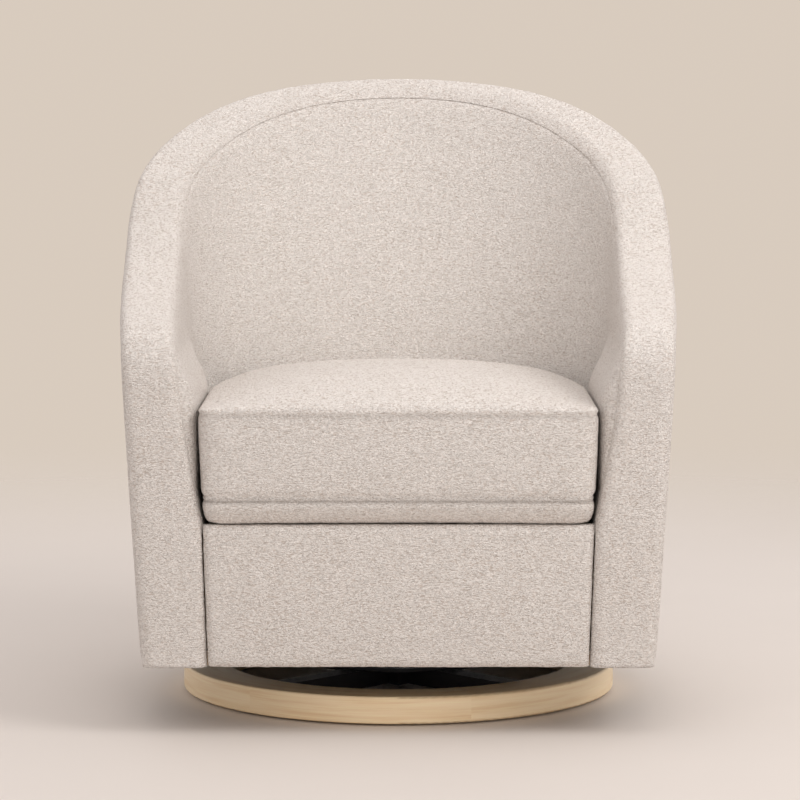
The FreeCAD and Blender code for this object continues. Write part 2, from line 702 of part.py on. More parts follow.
# Plans of the barrel: height, half width at the arm fronts, greatest half width, depth of the rear
# half-ellipse behind the widest place, and where that place is.
OUTSIDE = [
    (size("body_base"), 329.0, 353.0, 340.0, 10.0),
    (size("loft_top"), 377.0, 398.0, 384.9, 10.0),
]
INSIDE = [
    (size("body_base"), 249.0, 255.0, 200.0, -40.0),
    (276.0, 255.0, 263.0, 203.0, -40.0),
    (440.0, 282.0, 292.0, 204.0, -30.0),
    (size("loft_top"), 319.0, 325.0, 295.0, 70.0),
]
FRONT_EDGE_Y = -420.0

# The rim seen from the side: up the arm front, round its corner, along the arm and up the back.
ARM_FRONT = [(-374.0, 0.0), (-384.0, 478.0)]
ARM_CORNER = (-366.0, 523.0)
RIM = [
    (-318.0, 541.0),
    (-150.0, 580.0),
    (10.0, 642.0),
    (110.0, 724.0),
    (214.0, 783.0),
    (330.0, 840.0),
    (396.0, 864.0),
]
REAR_LIMIT_Y = 470.0
RIB_CENTRE_Y = 10.0


def rear_curve(half_width, depth, centre, z):
    """Half ellipse round the rear, from the sitter's left-hand side to the other."""
    side, rear, middle = Vector(half_width, centre, z), Vector(0, centre + depth, z), Vector(0, centre, z)
    if half_width >= depth:
        return Part.ArcOfEllipse(Part.Ellipse(side, rear, middle), 0, math.pi)
    upright = Part.Ellipse(rear, Vector(-half_width, centre, z), middle)
    return Part.ArcOfEllipse(upright, -math.pi / 2, math.pi / 2)


def barrel_wire(z, front, widest, depth, centre, grow=0.0):
    """Closed plan of the barrel at one height: bowed sides, an elliptical rear, open-ended front."""
    front, widest, depth = front + grow, widest + grow, depth + grow
    bow, reach = widest - front, centre - FRONT_EDGE_Y
    radius = (bow * bow + reach * reach) / (2 * bow)
    middle_y = (centre + FRONT_EDGE_Y) / 2
    middle_x = widest - radius + math.sqrt(radius**2 - (centre - middle_y) ** 2)
    corner, shoulder = Vector(front, FRONT_EDGE_Y, z), Vector(widest, centre, z)
    side = Part.Arc(corner, Vector(middle_x, middle_y, z), shoulder).toShape()
    other = Part.Arc(Vector(-widest, centre, z), Vector(-middle_x, middle_y, z),
                     Vector(-front, FRONT_EDGE_Y, z)).toShape()
    rear = rear_curve(widest, depth, centre, z)
    mouth = Part.LineSegment(Vector(-front, FRONT_EDGE_Y, z), corner).toShape()
    return Part.Wire([side, rear.toShape(), other, mouth])


def barrel(sections, grow=0.0):
    """Solid barrel through its plan sections, grown or shrunk by a wall's thickness."""
    wires = [barrel_wire(*section, grow) for section in sections]
    return Part.makeLoft(wires, True, True)


def outside(inset=0.0):
    """Everything within the outside of the barrel, less an inset."""
    return barrel(OUTSIDE, -inset)


def inside(grow=0.0):
    """The room inside the barrel, grown into the wall."""
    return barrel(INSIDE, grow)


def rim_prism(inset=0.0):
    """Everything behind the arm fronts and under the rim, less an inset."""
    (low_y, low_z), (high_y, high_z) = ARM_FRONT
    spline = Part.BSplineCurve()
    spline.interpolate([Vector(0, y, z) for y, z in RIM])
    points = []
    for y, z in RIM:
        slope = spline.tangent(spline.parameter(Vector(0, y, z)))[0]
        slope.normalize()
        points.append(Vector(0, y + slope.z * inset, z - slope.y * inset))
    rim = Part.BSplineCurve()
    rim.interpolate(points)
    last = rim.value(rim.LastParameter)
    base_z = size("body_base") - 1
    front_low = Vector(0, low_y + inset, base_z)
    front_high = Vector(0, high_y + inset, high_z)
    turn = Vector(0, ARM_CORNER[0] + inset * 0.72, ARM_CORNER[1] - inset * 0.69)
    edges = [
        Part.LineSegment(front_low, front_high),
        Part.Arc(front_high, turn, points[0]),
        rim,
        Part.LineSegment(last, Vector(0, REAR_LIMIT_Y, last.z)),
        Part.LineSegment(Vector(0, REAR_LIMIT_Y, last.z), Vector(0, REAR_LIMIT_Y, base_z)),
        Part.LineSegment(Vector(0, REAR_LIMIT_Y, base_z), front_low),
    ]
    face = Part.Face(Part.Wire([edge.toShape() for edge in edges]))
    half = 450.0
    face.translate(Vector(-half, 0, 0))
    return face.extrude(Vector(2 * half, 0, 0))


def block(x0, x1, y0, y1, z0, z1):
    """A plain block between two corners."""
    return Part.makeBox(x1 - x0, y1 - y0, z1 - z0, Vector(x0, y0, z0))


def shaped(label, shape):
    """A sub-part whose shape is worked out in code."""
    solids = shape.Solids
    piece = doc.addObject("Part::Feature", label)
    piece.Shape = solids[0] if len(solids) == 1 else Part.makeCompound(solids)
    return keep(piece, label)


# ---------------------------------------------------------------------------------------------
# Upholstery
# ---------------------------------------------------------------------------------------------


def upholstery():
    """Outside cover, inside padding and the band that closes the wall along its whole rim."""
    under_band = rim_prism(size("band_thickness"))
    wall = outside().common(rim_prism()).cut(inside())
    shaped("rim_band", wall.cut(under_band))
    cover = outside().cut(outside(size("cover_thickness"))).common(under_band)
    behind = block(-450, 450, FRONT_EDGE_Y + 60, REAR_LIMIT_Y, 0, size("loft_top"))
    shaped("outside_cover", cover.common(behind))
    pad = inside(size("pad_thickness")).cut(inside()).common(under_band)
    above = block(-450, 450, FRONT_EDGE_Y + 60, REAR_LIMIT_Y, size("front_rail_top"), size("loft_top"))
    shaped("inside_pad", pad.common(above))

    front, rear = size("apron_front"), size("box_front")
    apron = block(-300, 300, front, rear, size("body_base"), size("apron_top"))
    rounded = [e for e in apron.Edges
               if abs(e.CenterOfMass.y - front) < 0.1 and e.BoundBox.XLength > 300]
    apron = apron.makeFillet(size("apron_edge"), rounded)
    shaped("front_apron", apron.common(inside(-size("apron_gap"))))


# ---------------------------------------------------------------------------------------------
# Wooden frame inside the body
# ---------------------------------------------------------------------------------------------


def seat_box():
    """Plywood bottom plate and the boards of the box that carries the springs."""
    width, depth = "2 * sizes.box_half_width", "sizes.board"
    opening_front, opening_rear = size("box_front") + size("board"), size("box_rear") - size("board")
    opening_half = size("box_half_width") - size("board")
    low = size("body_base") + size("plate_gap")
    high = low + size("plate_thickness")
    level = block(-450, 450, size("box_front"), REAR_LIMIT_Y, low, high)
    plate = outside(size("cover_thickness") + size("rib_gap")).common(level)
    plate = plate.cut(block(-opening_half, opening_half, opening_front, opening_rear, 0, 200))
    for _, sx in SIDES:
        for y in (-170, -60, 60, 170):
            x = sx * (size("box_half_width") - size("board") / 2)
            plate = plate.cut(Part.makeCylinder(4.1, 60, Vector(x, y, 80)))
    shaped("bottom_plate", plate)

    height = f"sizes.front_rail_top - {BOX_BASE}"
    keep(box("front_rail", width, depth, height, "-sizes.box_half_width", "sizes.box_front", BOX_BASE),
         "front_rail")
    keep(box("rear_rail", width, depth, height, "-sizes.box_half_width",
             "sizes.box_rear - sizes.board", BOX_BASE), "rear_rail")
    rails = []
    for side, sx in SIDES:
        rail = box(f"side_rail_blank_{side}", depth,
                   "sizes.box_rear - sizes.box_front - 2 * sizes.board",
                   f"sizes.side_rail_top - {BOX_BASE}",
                   along(sx, "sizes.box_half_width - sizes.board", "sizes.board"),
                   "sizes.box_front + sizes.board", BOX_BASE)
        holes = [
            cylinder(f"side_rail_hole_{side}_{i}", "4.1", "60",
                     f"{sx} * (sizes.box_half_width - sizes.board / 2)", str(y), BOX_BASE)
            for i, y in enumerate((-170, -60, 60, 170))
        ]
        rails.append(cut(f"side_rail_{side}", rail, holes))
    keep(group("side_rails", rails), "side_rails")

    leg, block_low = size("block_side"), size("body_base") + size("carriage_rise") + 4
    blocks = []
    for _, sx in SIDES:
        for y, sy in ((opening_front, 1), (opening_rear, -1)):
            x = sx * opening_half
            corner = [Vector(x, y, block_low), Vector(x - sx * leg, y, block_low),
                      Vector(x, y + sy * leg, block_low)]
            face = Part.Face(Part.makePolygon([*corner, corner[0]]))
            blocks.append(face.extrude(Vector(0, 0, size("block_height"))))
    shaped("corner_blocks", Part.makeCompound(blocks))


def body_frame():
    """Plywood ribs in the hollow of the wall, the lap rail round them and the rail under the rim."""
    gap = size("rib_gap")
    hollow = outside(size("cover_thickness") + gap).cut(inside(size("pad_thickness") + gap))
    floor_z = size("body_base") + size("plate_gap") + size("plate_thickness")
    limits = block(-450, 450, size("box_front"), REAR_LIMIT_Y, floor_z, size("loft_top"))
    rim_low = rim_prism(size("band_thickness") + size("rim_rail"))
    rim_rail = hollow.common(limits).common(rim_prism(size("band_thickness") + gap)).cut(rim_low)
    shaped("rim_rail", rim_rail)

    low_half = size("box_half_width")
    inner_low = block(-low_half, low_half, size("box_front"), size("box_rear"), 0, size("front_rail_top"))
    inner_pad_low = inside(size("pad_thickness") + gap).cut(
        block(-450, 450, FRONT_EDGE_Y, REAR_LIMIT_Y, 0, size("front_rail_top") - gap))
    room = outside(size("cover_thickness") + gap).cut(inner_pad_low).cut(inner_low)
    room = room.common(limits).common(rim_low)
    lap_low = size("lap_rail_z")
    shell = outside(size("cover_thickness") + gap).cut(
        outside(size("cover_thickness") + gap + size("lap_rail_width")))
    lap = shell.common(block(-450, 450, size("box_front"), REAR_LIMIT_Y, lap_low, lap_low + size("rib")))
    lap = lap.common(rim_low)
    shaped("lap_rail", lap)

    room = room.cut(lap)
    half = size("rib") / 2
    arm_ribs = []
    for y in (size("box_front") + half, -190.0, -40.0):
        for _, sx in SIDES:
            side = block(min(0, sx * 450), max(0, sx * 450), y - half, y + half, 0, 900)
            arm_ribs += room.common(side).Solids
    shaped("arm_ribs", Part.makeCompound(arm_ribs))

    back_ribs = []
    for angle in (-62.0, -31.0, 0.0, 31.0, 62.0):
        slab = block(-half, half, 120.0, 460.0, 0, 900)
        slab.rotate(Vector(0, RIB_CENTRE_Y, 0), Vector(0, 0, 1), angle)
        back_ribs += room.common(slab).Solids
    shaped("back_ribs", Part.makeCompound(back_ribs))


# ---------------------------------------------------------------------------------------------
# Springs, deck and dust cloth
# ---------------------------------------------------------------------------------------------


def spring_path(x, z):
    """Centre line of one sinuous spring: bars across the seat joined by half circles."""
    bars = int(size("spring_bars"))
    first = size("box_front") + size("board") + 8
    last = size("box_rear") - size("board") - 8
    pitch = (last - first) / (bars - 1)
    half, bend = size("spring_half_wave") - pitch / 2, pitch / 2
    edges = []
    for i in range(bars):
        y, way = first + i * pitch, 1 if i % 2 == 0 else -1
        start, end = Vector(x - way * half, y, z), Vector(x + way * half, y, z)
        edges.append(Part.LineSegment(start, end).toShape())
        if i < bars - 1:
            outer = Vector(x + way * (half + bend), y + pitch / 2, z)
            edges.append(Part.Arc(end, outer, Vector(x + way * half, y + pitch, z)).toShape())
    return Part.Wire(edges)


def deck():
    """Six sinuous springs with their clips, the felt over them, the padded deck and dust cloth."""
    wire, z = size("spring_wire"), size("spring_z")
    springs, clips = [], []
    rails = (size("box_front") + size("board"), 1), (size("box_rear") - size("board"), -1)
    for i in range(int(size("spring_count"))):
        x = (i - (size("spring_count") - 1) / 2) * size("spring_spacing")
        path = spring_path(x, z)
        start = path.Edges[0].Vertexes[0].Point
        ring = Part.Wire(Part.makeCircle(wire, start, Vector(1, 0, 0)))
        springs.append(path.makePipeShell([ring], True, False))
        for y, sy in rails:
            clip = block(x - 7, x + 7, min(y, y + sy * 12), max(y, y + sy * 12), z - 4, z + 3)
            bore = Part.makeCylinder(wire + 0.25, 40, Vector(x - 20, y + sy * 8, z), Vector(1, 0, 0))
            mouth = block(x - 20, x + 20, min(y + sy * 8, y + sy * 20), max(y + sy * 8, y + sy * 20),
                          z - wire - 0.25, z + wire + 0.25)
            clips.append(clip.cut(bore).cut(mouth))
    shaped("seat_springs", Part.makeCompound(springs))
    shaped("spring_clips", Part.makeCompound(clips))

    half = size("box_half_width") - size("board") - 1
    front, rear = size("box_front") + size("board") + 1, size("box_rear") - size("board") - 1
    felt_low = z + 3.2
    shaped("spring_felt", block(-half, half, front, rear, felt_low, felt_low + size("felt_thickness")))
    deck_low = size("front_rail_top") + 0.4
    level = block(-450, 450, size("box_front") + 1, REAR_LIMIT_Y, deck_low, deck_low + size("deck_thickness"))
    shaped("deck_pad", inside(-2.0).common(level))

    cloth = size("cambric")
    under_plate = size("body_base") + size("plate_gap") - cloth - 0.2
    edge = block(-450, 450, size("box_front") + 12, REAR_LIMIT_Y, under_plate, under_plate + cloth)
    skirt = outside(size("cover_thickness") + 12).common(edge)
    opening = size("box_half_width") + 8
    skirt = skirt.cut(block(-opening, opening, size("box_front") - 50, size("box_rear") - 10, 0, 200))
    shaped("dust_skirt", skirt)
    panel_z = size("side_rail_top") - 6
    shaped("dust_panel", block(-half, half, front, rear, panel_z - cloth, panel_z))


# ---------------------------------------------------------------------------------------------
# Loose seat cushion
# ---------------------------------------------------------------------------------------------


def cushion_shape(inset):
    """Crowned cushion that widens upwards and has an elliptical rear, less an inset."""
    low, high = size("cushion_base") + inset, size("cushion_crown") - inset
    front, rear = size("cushion_front") + inset, size("cushion_rear") - inset
    centre = size("cushion_centre")
    wires = []
    for z, half in ((low, size("cushion_low_width")), (high, size("cushion_high_width"))):
        half -= inset
        r = size("cushion_corner") - inset / 2
        back = rear_curve(half, rear - centre, centre, z)
        bend = r * (1 - math.sqrt(0.5))
        edges = [
            Part.LineSegment(Vector(half, front + r, z), Vector(half, centre, z)),
            back,
            Part.LineSegment(Vector(-half, centre, z), Vector(-half, front + r, z)),
            Part.Arc(Vector(-half, front + r, z), Vector(-half + bend, front + bend, z),
                     Vector(-half + r, front, z)),
            Part.LineSegment(Vector(-half + r, front, z), Vector(half - r, front, z)),
            Part.Arc(Vector(half - r, front, z), Vector(half - bend, front + bend, z),
                     Vector(half, front + r, z)),
        ]
        wires.append(Part.Wire([edge.toShape() for edge in edges]))
    cushion = Part.makeLoft(wires, True, True)
    across = arched_face(size("cushion_high_width") + 20, low - 5, high)
    cushion = cushion.common(across.extrude(Vector(0, 900, 0)))
    along_y = arched_face((size("cushion_rear") - size("cushion_front")) / 2 + 20, low - 5, high)
    along_y.rotate(Vector(0, FRONT_EDGE_Y - 60, 0), Vector(0, 0, 1), 90)
    along_y.translate(Vector(-450, (front + rear) / 2 - FRONT_EDGE_Y + 60, 0))
    return cushion.common(along_y.extrude(Vector(900, 0, 0)))


def arched_face(half, low, high):
    """Upright face in front of the chair, flat below and arched by the cushion's fall on top."""
    y, fall = FRONT_EDGE_Y - 60, size("cushion_fall")
    corners = [Vector(half, y, high - fall), Vector(half, y, low),
               Vector(-half, y, low), Vector(-half, y, high - fall)]
    arch = Part.Arc(corners[0], Vector(0, y, high), corners[3])
    edges = [arch.toShape(), *Part.makePolygon(corners).Edges]
    return Part.Face(Part.Wire(Part.__sortEdges__(edges)))


def seat_cushion():
    """Foam core in a sewn cover."""
    cover = cushion_shape(0).cut(cushion_shape(size("cushion_cloth")))
    shaped("seat_cushion_cover", cover)
    shaped("seat_cushion_core", cushion_shape(size("cushion_cloth") + size("core_gap")))


# ---------------------------------------------------------------------------------------------
# Build, check and write
# ---------------------------------------------------------------------------------------------


def write_parts():
    """Checks every object and writes each sub-part to its own file."""
    doc.recompute()
    for thing in doc.Objects:
        if {"Invalid", "Error"} & set(thing.State):
            raise RuntimeError(f"{thing.Name} failed: {thing.State}")
    for piece in sub_parts:
        shape = piece.Shape
        if shape.isNull() or not shape.isValid() or not shape.Solids:
            raise RuntimeError(f"{piece.Label} has no valid solid")
    os.makedirs("parts", exist_ok=True)
    for piece in sub_parts:
        piece.Shape.exportStep(os.path.join("parts", f"{piece.Label}.step"))
        print(f"{piece.Label}: {len(piece.Shape.Solids)} solid(s), {piece.Shape.Volume / 1000:.1f} cm3")


floor_ring()
ring_glides()
spider()
bearing()
turning_frame()
for side_name, side_sign in SIDES:
    for end_name, end_sign in ENDS:
        link(end_name, side_name, side_sign, end_sign)
carriage()
seat_box()
body_frame()
upholstery()
deck()
seat_cushion()
write_parts()
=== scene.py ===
"""Looks of a swivel glider nursery chair: looped cloth over a barrel body, a lacquered floor ring and
black steel below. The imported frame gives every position; the cloth pieces are made here.
"""

from __future__ import annotations

import json
import logging
import math
from dataclasses import dataclass
from enum import Enum
from functools import reduce
from typing import Any, Callable

import bmesh
import bpy
import numpy as np
from bmesh.types import BMesh
from bpy.types import Mesh, Node, NodeSocket, NodeTree, Object
from mathutils import Matrix, Vector

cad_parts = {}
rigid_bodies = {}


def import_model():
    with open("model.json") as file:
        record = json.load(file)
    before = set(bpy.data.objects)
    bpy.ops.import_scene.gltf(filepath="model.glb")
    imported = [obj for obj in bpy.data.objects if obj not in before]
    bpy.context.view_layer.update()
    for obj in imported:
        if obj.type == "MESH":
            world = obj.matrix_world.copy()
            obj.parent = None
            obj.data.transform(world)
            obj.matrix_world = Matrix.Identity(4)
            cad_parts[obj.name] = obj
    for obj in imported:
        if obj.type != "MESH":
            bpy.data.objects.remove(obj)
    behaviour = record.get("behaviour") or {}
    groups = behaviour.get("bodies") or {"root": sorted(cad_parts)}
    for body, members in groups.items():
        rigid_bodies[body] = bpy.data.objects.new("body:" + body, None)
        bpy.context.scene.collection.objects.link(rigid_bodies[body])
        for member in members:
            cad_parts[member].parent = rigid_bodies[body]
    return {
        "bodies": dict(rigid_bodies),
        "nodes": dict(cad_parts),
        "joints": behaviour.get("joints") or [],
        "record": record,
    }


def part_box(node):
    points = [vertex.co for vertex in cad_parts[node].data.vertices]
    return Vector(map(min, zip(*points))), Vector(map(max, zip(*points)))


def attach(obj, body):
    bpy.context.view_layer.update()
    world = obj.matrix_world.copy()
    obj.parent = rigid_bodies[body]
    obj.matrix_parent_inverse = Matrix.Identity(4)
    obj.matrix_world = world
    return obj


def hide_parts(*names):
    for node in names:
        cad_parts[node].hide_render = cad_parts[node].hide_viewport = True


log = logging.getLogger("glider_chair")

Colour = tuple[float, float, float]
Array = np.ndarray


# Shape of the barrel

RAY_Y = -0.04
FRONT_EDGE_Y = -0.42
FOOT_RISE = 0.004
# Parts of the way round a section where a sheet leaves its face, its upper edge and its rear.
FACE_END, EDGE_END, FOOT_START = 0.86, 0.88, 0.98
# Height from which the rim is looked for, and how often the search is repeated.
TOP_GUESS, ROUNDS = 0.6, 8


@dataclass(frozen=True)
class Wall:
    """One face of the barrel's wall: bowed sides and an elliptical rear that change with height.

    Args:
        heights: Heights of the plan sections.
        fronts: Half widths at the front edge, one per section.
        widests: Greatest half widths.
        depths: Depths of the rear half-ellipse.
        centres: Where the rear half-ellipse begins.
    """

    heights: tuple[float, ...]
    fronts: tuple[float, ...]
    widests: tuple[float, ...]
    depths: tuple[float, ...]
    centres: tuple[float, ...]

    def half_width(self, y: Array, z: Array) -> Array:
        """Half width of the plan at a depth and a height.

        Args:
            y: Depths in the chair.
            z: Heights above the floor.

        Returns:
            Distances of the wall from the middle plane.
        """
        front = np.interp(z, self.heights, self.fronts)
        widest = np.interp(z, self.heights, self.widests)
        depth = np.interp(z, self.heights, self.depths)
        centre = np.interp(z, self.heights, self.centres)
        bow, reach = widest - front, centre - FRONT_EDGE_Y
        radius = (bow**2 + reach**2) / (2 * bow)
        side = widest - radius + np.sqrt(np.maximum(radius**2 - (centre - y) ** 2, 0))
        rear = widest * np.sqrt(np.maximum(1 - ((y - centre) / depth) ** 2, 0))
        return np.where(y <= centre, side, rear)

    def reach(self, turn: Array, z: Array) -> Array:
        """Distance of the wall along a ray in plan.

        Args:
            turn: Angles from straight sideways towards the rear.
            z: Heights above the floor.

        Returns:
            Distances from the point where all rays start.
        """
        low, high = np.full(np.shape(turn + z), 0.05), np.full(np.shape(turn + z), 0.6)
        rear = np.interp(z, self.heights, self.centres) + np.interp(z, self.heights, self.depths)
        for _ in range(26):
            middle = (low + high) / 2
            y = RAY_Y + middle * np.sin(turn)
            within = (middle * np.cos(turn) < self.half_width(y, z)) & (y <= rear)
            low, high = np.where(within, middle, low), np.where(within, high, middle)
        return (low + high) / 2


OUTSIDE = Wall((0.088, 0.88), (0.329, 0.377), (0.353, 0.398), (0.340, 0.3849), (0.010, 0.010))
INSIDE = Wall(
    (0.088, 0.276, 0.44, 0.88),
    (0.249, 0.255, 0.282, 0.319),
    (0.255, 0.263, 0.292, 0.325),
    (0.200, 0.203, 0.204, 0.295),
    (-0.040, -0.040, -0.030, 0.070),
)


class Rim:
    """The rim seen from the side: up the arm front, round its corner, along the arm, up the back."""

    FRONT = ((-0.374, 0.088), (-0.383, 0.440), (-0.3835, 0.470))
    CORNER = ((-0.379, 0.4975), (-0.364, 0.5185), (-0.340, 0.5325))
    ARM = (
        (-0.308, 0.5425),
        (-0.150, 0.580),
        (0.010, 0.642),
        (0.110, 0.724),
        (0.214, 0.783),
        (0.330, 0.840),
        (0.396, 0.864),
    )

    def __init__(self) -> None:
        """Samples the rim closely, with its length and its outward direction at each sample."""
        points = np.array([*self.FRONT, *self.CORNER, *self.ARM])
        steps = np.concatenate([[0], np.cumsum(np.linalg.norm(np.diff(points, axis=0), axis=1))])
        slopes = np.gradient(points, steps, axis=0)
        slopes[0] = slopes[1] = (points[1] - points[0]) / steps[1]
        where = np.linspace(0, steps[-1], 2400)
        cell = np.clip(np.searchsorted(steps, where, side="right") - 1, 0, len(steps) - 2)
        size = steps[cell + 1] - steps[cell]
        t = ((where - steps[cell]) / size)[:, None]
        size = size[:, None]
        curve = (
            (2 * t**3 - 3 * t**2 + 1) * points[cell]
            + (t**3 - 2 * t**2 + t) * size * slopes[cell]
            + (-2 * t**3 + 3 * t**2) * points[cell + 1]
            + (t**3 - t**2) * size * slopes[cell + 1]
        )
        tangent = np.gradient(curve, axis=0)
        tangent /= np.linalg.norm(tangent, axis=1)[:, None]
        self.points = curve
        self.normals = np.stack([-tangent[:, 1], tangent[:, 0]], axis=1)
        self.length = np.concatenate([[0], np.cumsum(np.linalg.norm(np.diff(curve, axis=0), axis=1))])
        self._top = int(np.argmax(curve[:, 0] > -0.340))

    def height(self, y: Array) -> Array:
        """Height of the rim at a depth behind the arm's corner."""
        return np.interp(y, self.points[self._top :, 0], self.points[self._top :, 1])

    def front(self, z: Array) -> Array:
        """Depth of the arm's front at a height."""
        heights, depths = np.array(self.FRONT).T[::-1]
        return np.interp(z, heights, depths)

    def drop(self, y: Array) -> Array:
        """How far down one unit of thickness reaches at a depth."""
        return np.interp(y, self.points[self._top :, 0], 1 / self.normals[self._top :, 1])

    def at(self, y_limit: float) -> float:
        """Length along the rim, from the floor end, where it passes a depth."""
        index = int(np.argmax(self.points[:, 0] > y_limit))
        return float(self.length[index])


RIM = Rim()


def rise(low: float, high: float, value: Array) -> Array:
    """Rises evenly from 0 at low to 1 at high."""
    return np.clip((value - low) / (high - low), 0, 1)


def smooth_step(low: float, high: float, value: Array) -> Array:
    """Rises smoothly from 0 at low to 1 at high."""
    t = rise(low, high, value)
    return t * t * (3 - 2 * t)


def bell(gap: Array, width: float) -> Array:
    """Falls from 1, where the gap is nothing, to almost 0 at twice the width."""
    return np.exp(-((gap / width) ** 2))


def plan_point(wall: Wall, along: Array, z: Array, front: float, grow: Array | float = 0.0) -> Array:
    """Point on a wall, going round the barrel from one arm front to the other.

    Args:
        wall: Face of the barrel's wall.
        along: From -1 at one arm front, by 0 at the middle of the back, to 1 at the other.
        z: Heights above the floor.
        front: Depth of the arm fronts.
        grow: Distance outwards from the wall.

    Returns:
        Points, with their coordinates in the last axis.
    """
    bend = 0.605
    part, sign = np.abs(along), np.sign(along)
    turn = np.radians(90) * np.clip(1 - part / bend, 0, 1)
    reach = wall.reach(turn, z) + grow
    y_arm = RAY_Y + (front - RAY_Y) * np.clip((part - bend) / (1 - bend), 0, 1)
    on_arm = part > bend
    x = np.where(on_arm, wall.half_width(y_arm, z) + grow, reach * np.cos(turn))
    y = np.where(on_arm, y_arm, RAY_Y + reach * np.sin(turn))
    return np.stack([sign * x, y, z + 0 * x], axis=-1)


# Mesh tools


def lattice_noise(points: Array, seed: int = 0) -> Array:
    """Smooth noise that repeats nowhere and is the same on each run.

    Args:
        points: Places, in units of the noise's own grain.
        seed: Picks one of many patterns.

    Returns:
        Values from -1 to 1.
    """
    cell = np.floor(points).astype(np.int64)
    part = points - cell
    part = part * part * (3 - 2 * part)
    total = np.zeros(len(points))
    for corner in range(8):
        offset = np.array([corner & 1, corner >> 1 & 1, corner >> 2 & 1])
        spot = cell + offset
        mixed = spot[:, 0] * 73856093 ^ spot[:, 1] * 19349663 ^ spot[:, 2] * 83492791 ^ seed * 2654435
        mixed = (mixed ^ (mixed >> 13)) * 1274126177 & 0x7FFFFFFF
        value = (mixed ^ (mixed >> 16)) % 65536 / 32767.5 - 1
        weight = np.prod(np.where(offset == 1, part, 1 - part), axis=1)
        total += value * weight
    return total


def get_points(mesh: Mesh) -> Array:
    """Vertex places of a mesh."""
    flat = np.empty(len(mesh.vertices) * 3)
    mesh.vertices.foreach_get("co", flat)
    return flat.reshape(-1, 3)


def set_points(mesh: Mesh, points: Array) -> None:
    """Moves a mesh's vertices."""
    mesh.vertices.foreach_set("co", np.ascontiguousarray(points, dtype=np.float64).ravel())
    mesh.update()


def get_normals(mesh: Mesh) -> Array:
    """Vertex normals of a mesh."""
    flat = np.empty(len(mesh.vertices) * 3, dtype=np.float32)
    mesh.vertex_normals.foreach_get("vector", flat)
    return flat.reshape(-1, 3).astype(np.float64)


def nub_cloth(obj: Object, height: float = 0.00045, seed: int = 1) -> None:
    """Gives a cloth surface the lumps of its loops.

    Args:
        obj: Piece of cloth with close, even faces.
        height: Height of the lumps.
        seed: Picks one of many patterns.
    """
    points, normals = get_points(obj.data), get_normals(obj.data)
    fine = lattice_noise(points / np.array([0.0075, 0.0075, 0.0055]), seed)
    coarse = lattice_noise(points / 0.045, seed + 7)
    set_points(obj.data, points + normals * (height * (fine + 0.5 * coarse))[:, None])


def paint_seam_shade(obj: Object, depth: Array) -> None:
    """Stores, for its finish, how much painted seam shade darkens each point of a piece.

    Args:
        obj: Piece of cloth.
        depth: Painted shade, from 0, in the open, to 1, at the bottom of a seam; one per vertex.
    """
    layer = obj.data.attributes.new("seam", "FLOAT", "POINT")
    layer.data.foreach_set("value", np.clip(depth, 0, 1).astype(np.float32))


def finish_object(name: str, bm: BMesh, smooth: bool = True) -> Object:
    """Points a mesh's faces outwards, sets its shading and puts it in the scene.

    Args:
        name: Name of the new piece.
        bm: Its mesh, which is freed.
        smooth: Whether its faces are shaded smoothly.

    Returns:
        The new object, at the origin.
    """
    bmesh.ops.recalc_face_normals(bm, faces=bm.faces)
    for face in bm.faces:
        face.smooth = smooth
    mesh = bpy.data.meshes.new(name)
    bm.to_mesh(mesh)
    bm.free()
    obj = bpy.data.objects.new(name, mesh)
    bpy.context.scene.collection.objects.link(obj)
    return obj


def close_holes(bm: BMesh) -> None:
    """Closes every opening of a mesh with one face."""
    if edges := [edge for edge in bm.edges if edge.is_boundary]:
        bmesh.ops.holes_fill(bm, edges=edges, sides=0)


def wrapped_grid(
    name: str,
    around: int,
    across: int,
    shape: Callable[[Array, Array], Array],
) -> Object:
    """Bends a flat grid into a closed tube whose section runs round and ends are capped.

    Args:
        name: Name of the new piece.
        around: Faces along the tube.
        across: Faces round its section.
        shape: Gives a point for a place along the tube and a place round its section, both 0 to 1.

    Returns:
        The new object.
    """
    bm = bmesh.new()
    bmesh.ops.create_grid(bm, x_segments=around, y_segments=across, size=1.0)
    mesh = bpy.data.meshes.new(name)
    bm.to_mesh(mesh)
    flat = get_points(mesh)
    set_points(mesh, shape(flat[:, 0] / 2 + 0.5, flat[:, 1] / 2 + 0.5))
    bm.clear()
    bm.from_mesh(mesh)
    bpy.data.meshes.remove(mesh)
    bmesh.ops.remove_doubles(bm, verts=bm.verts, dist=1e-5)
    close_holes(bm)
    return finish_object(name, bm)


def rounded_section(width: Array, depth: float, radius: float, place: Array) -> tuple[Array, Array]:
    """Place round a section with rounded upper corners.

    Args:
        width: Width of the section.
        depth: Depth of the section.
        radius: Rounding of its two upper corners.
        place: From 0, at the inner lower corner, up, across, down and back along the bottom to 1.

    Returns:
        Distance from the inner side and depth below the top.
    """
    arc = math.pi / 2 * radius
    side = depth - radius
    top = width - 2 * radius
    stops = [side, side + arc, side + arc + 0 * top + top, 0, 0]
    stops[3] = stops[2] + arc
    stops[4] = stops[3] + side
    total = stops[4] + width
    run = place * total
    first = np.clip((run - stops[0]) / arc, 0, 1) * math.pi / 2
    second = np.clip((run - stops[2]) / arc, 0, 1) * math.pi / 2
    flat = np.clip(run - stops[1], 0, top)
    back = np.clip(run - stops[4], 0, width)
    x = radius * (1 - np.cos(first)) + flat + radius * np.sin(second) - back
    rise = np.clip(run, 0, side) + radius * np.sin(first)
    fall = radius * (1 - np.cos(second)) + np.clip(run - stops[3], 0, side)
    return x, depth - rise + fall


# Finishes


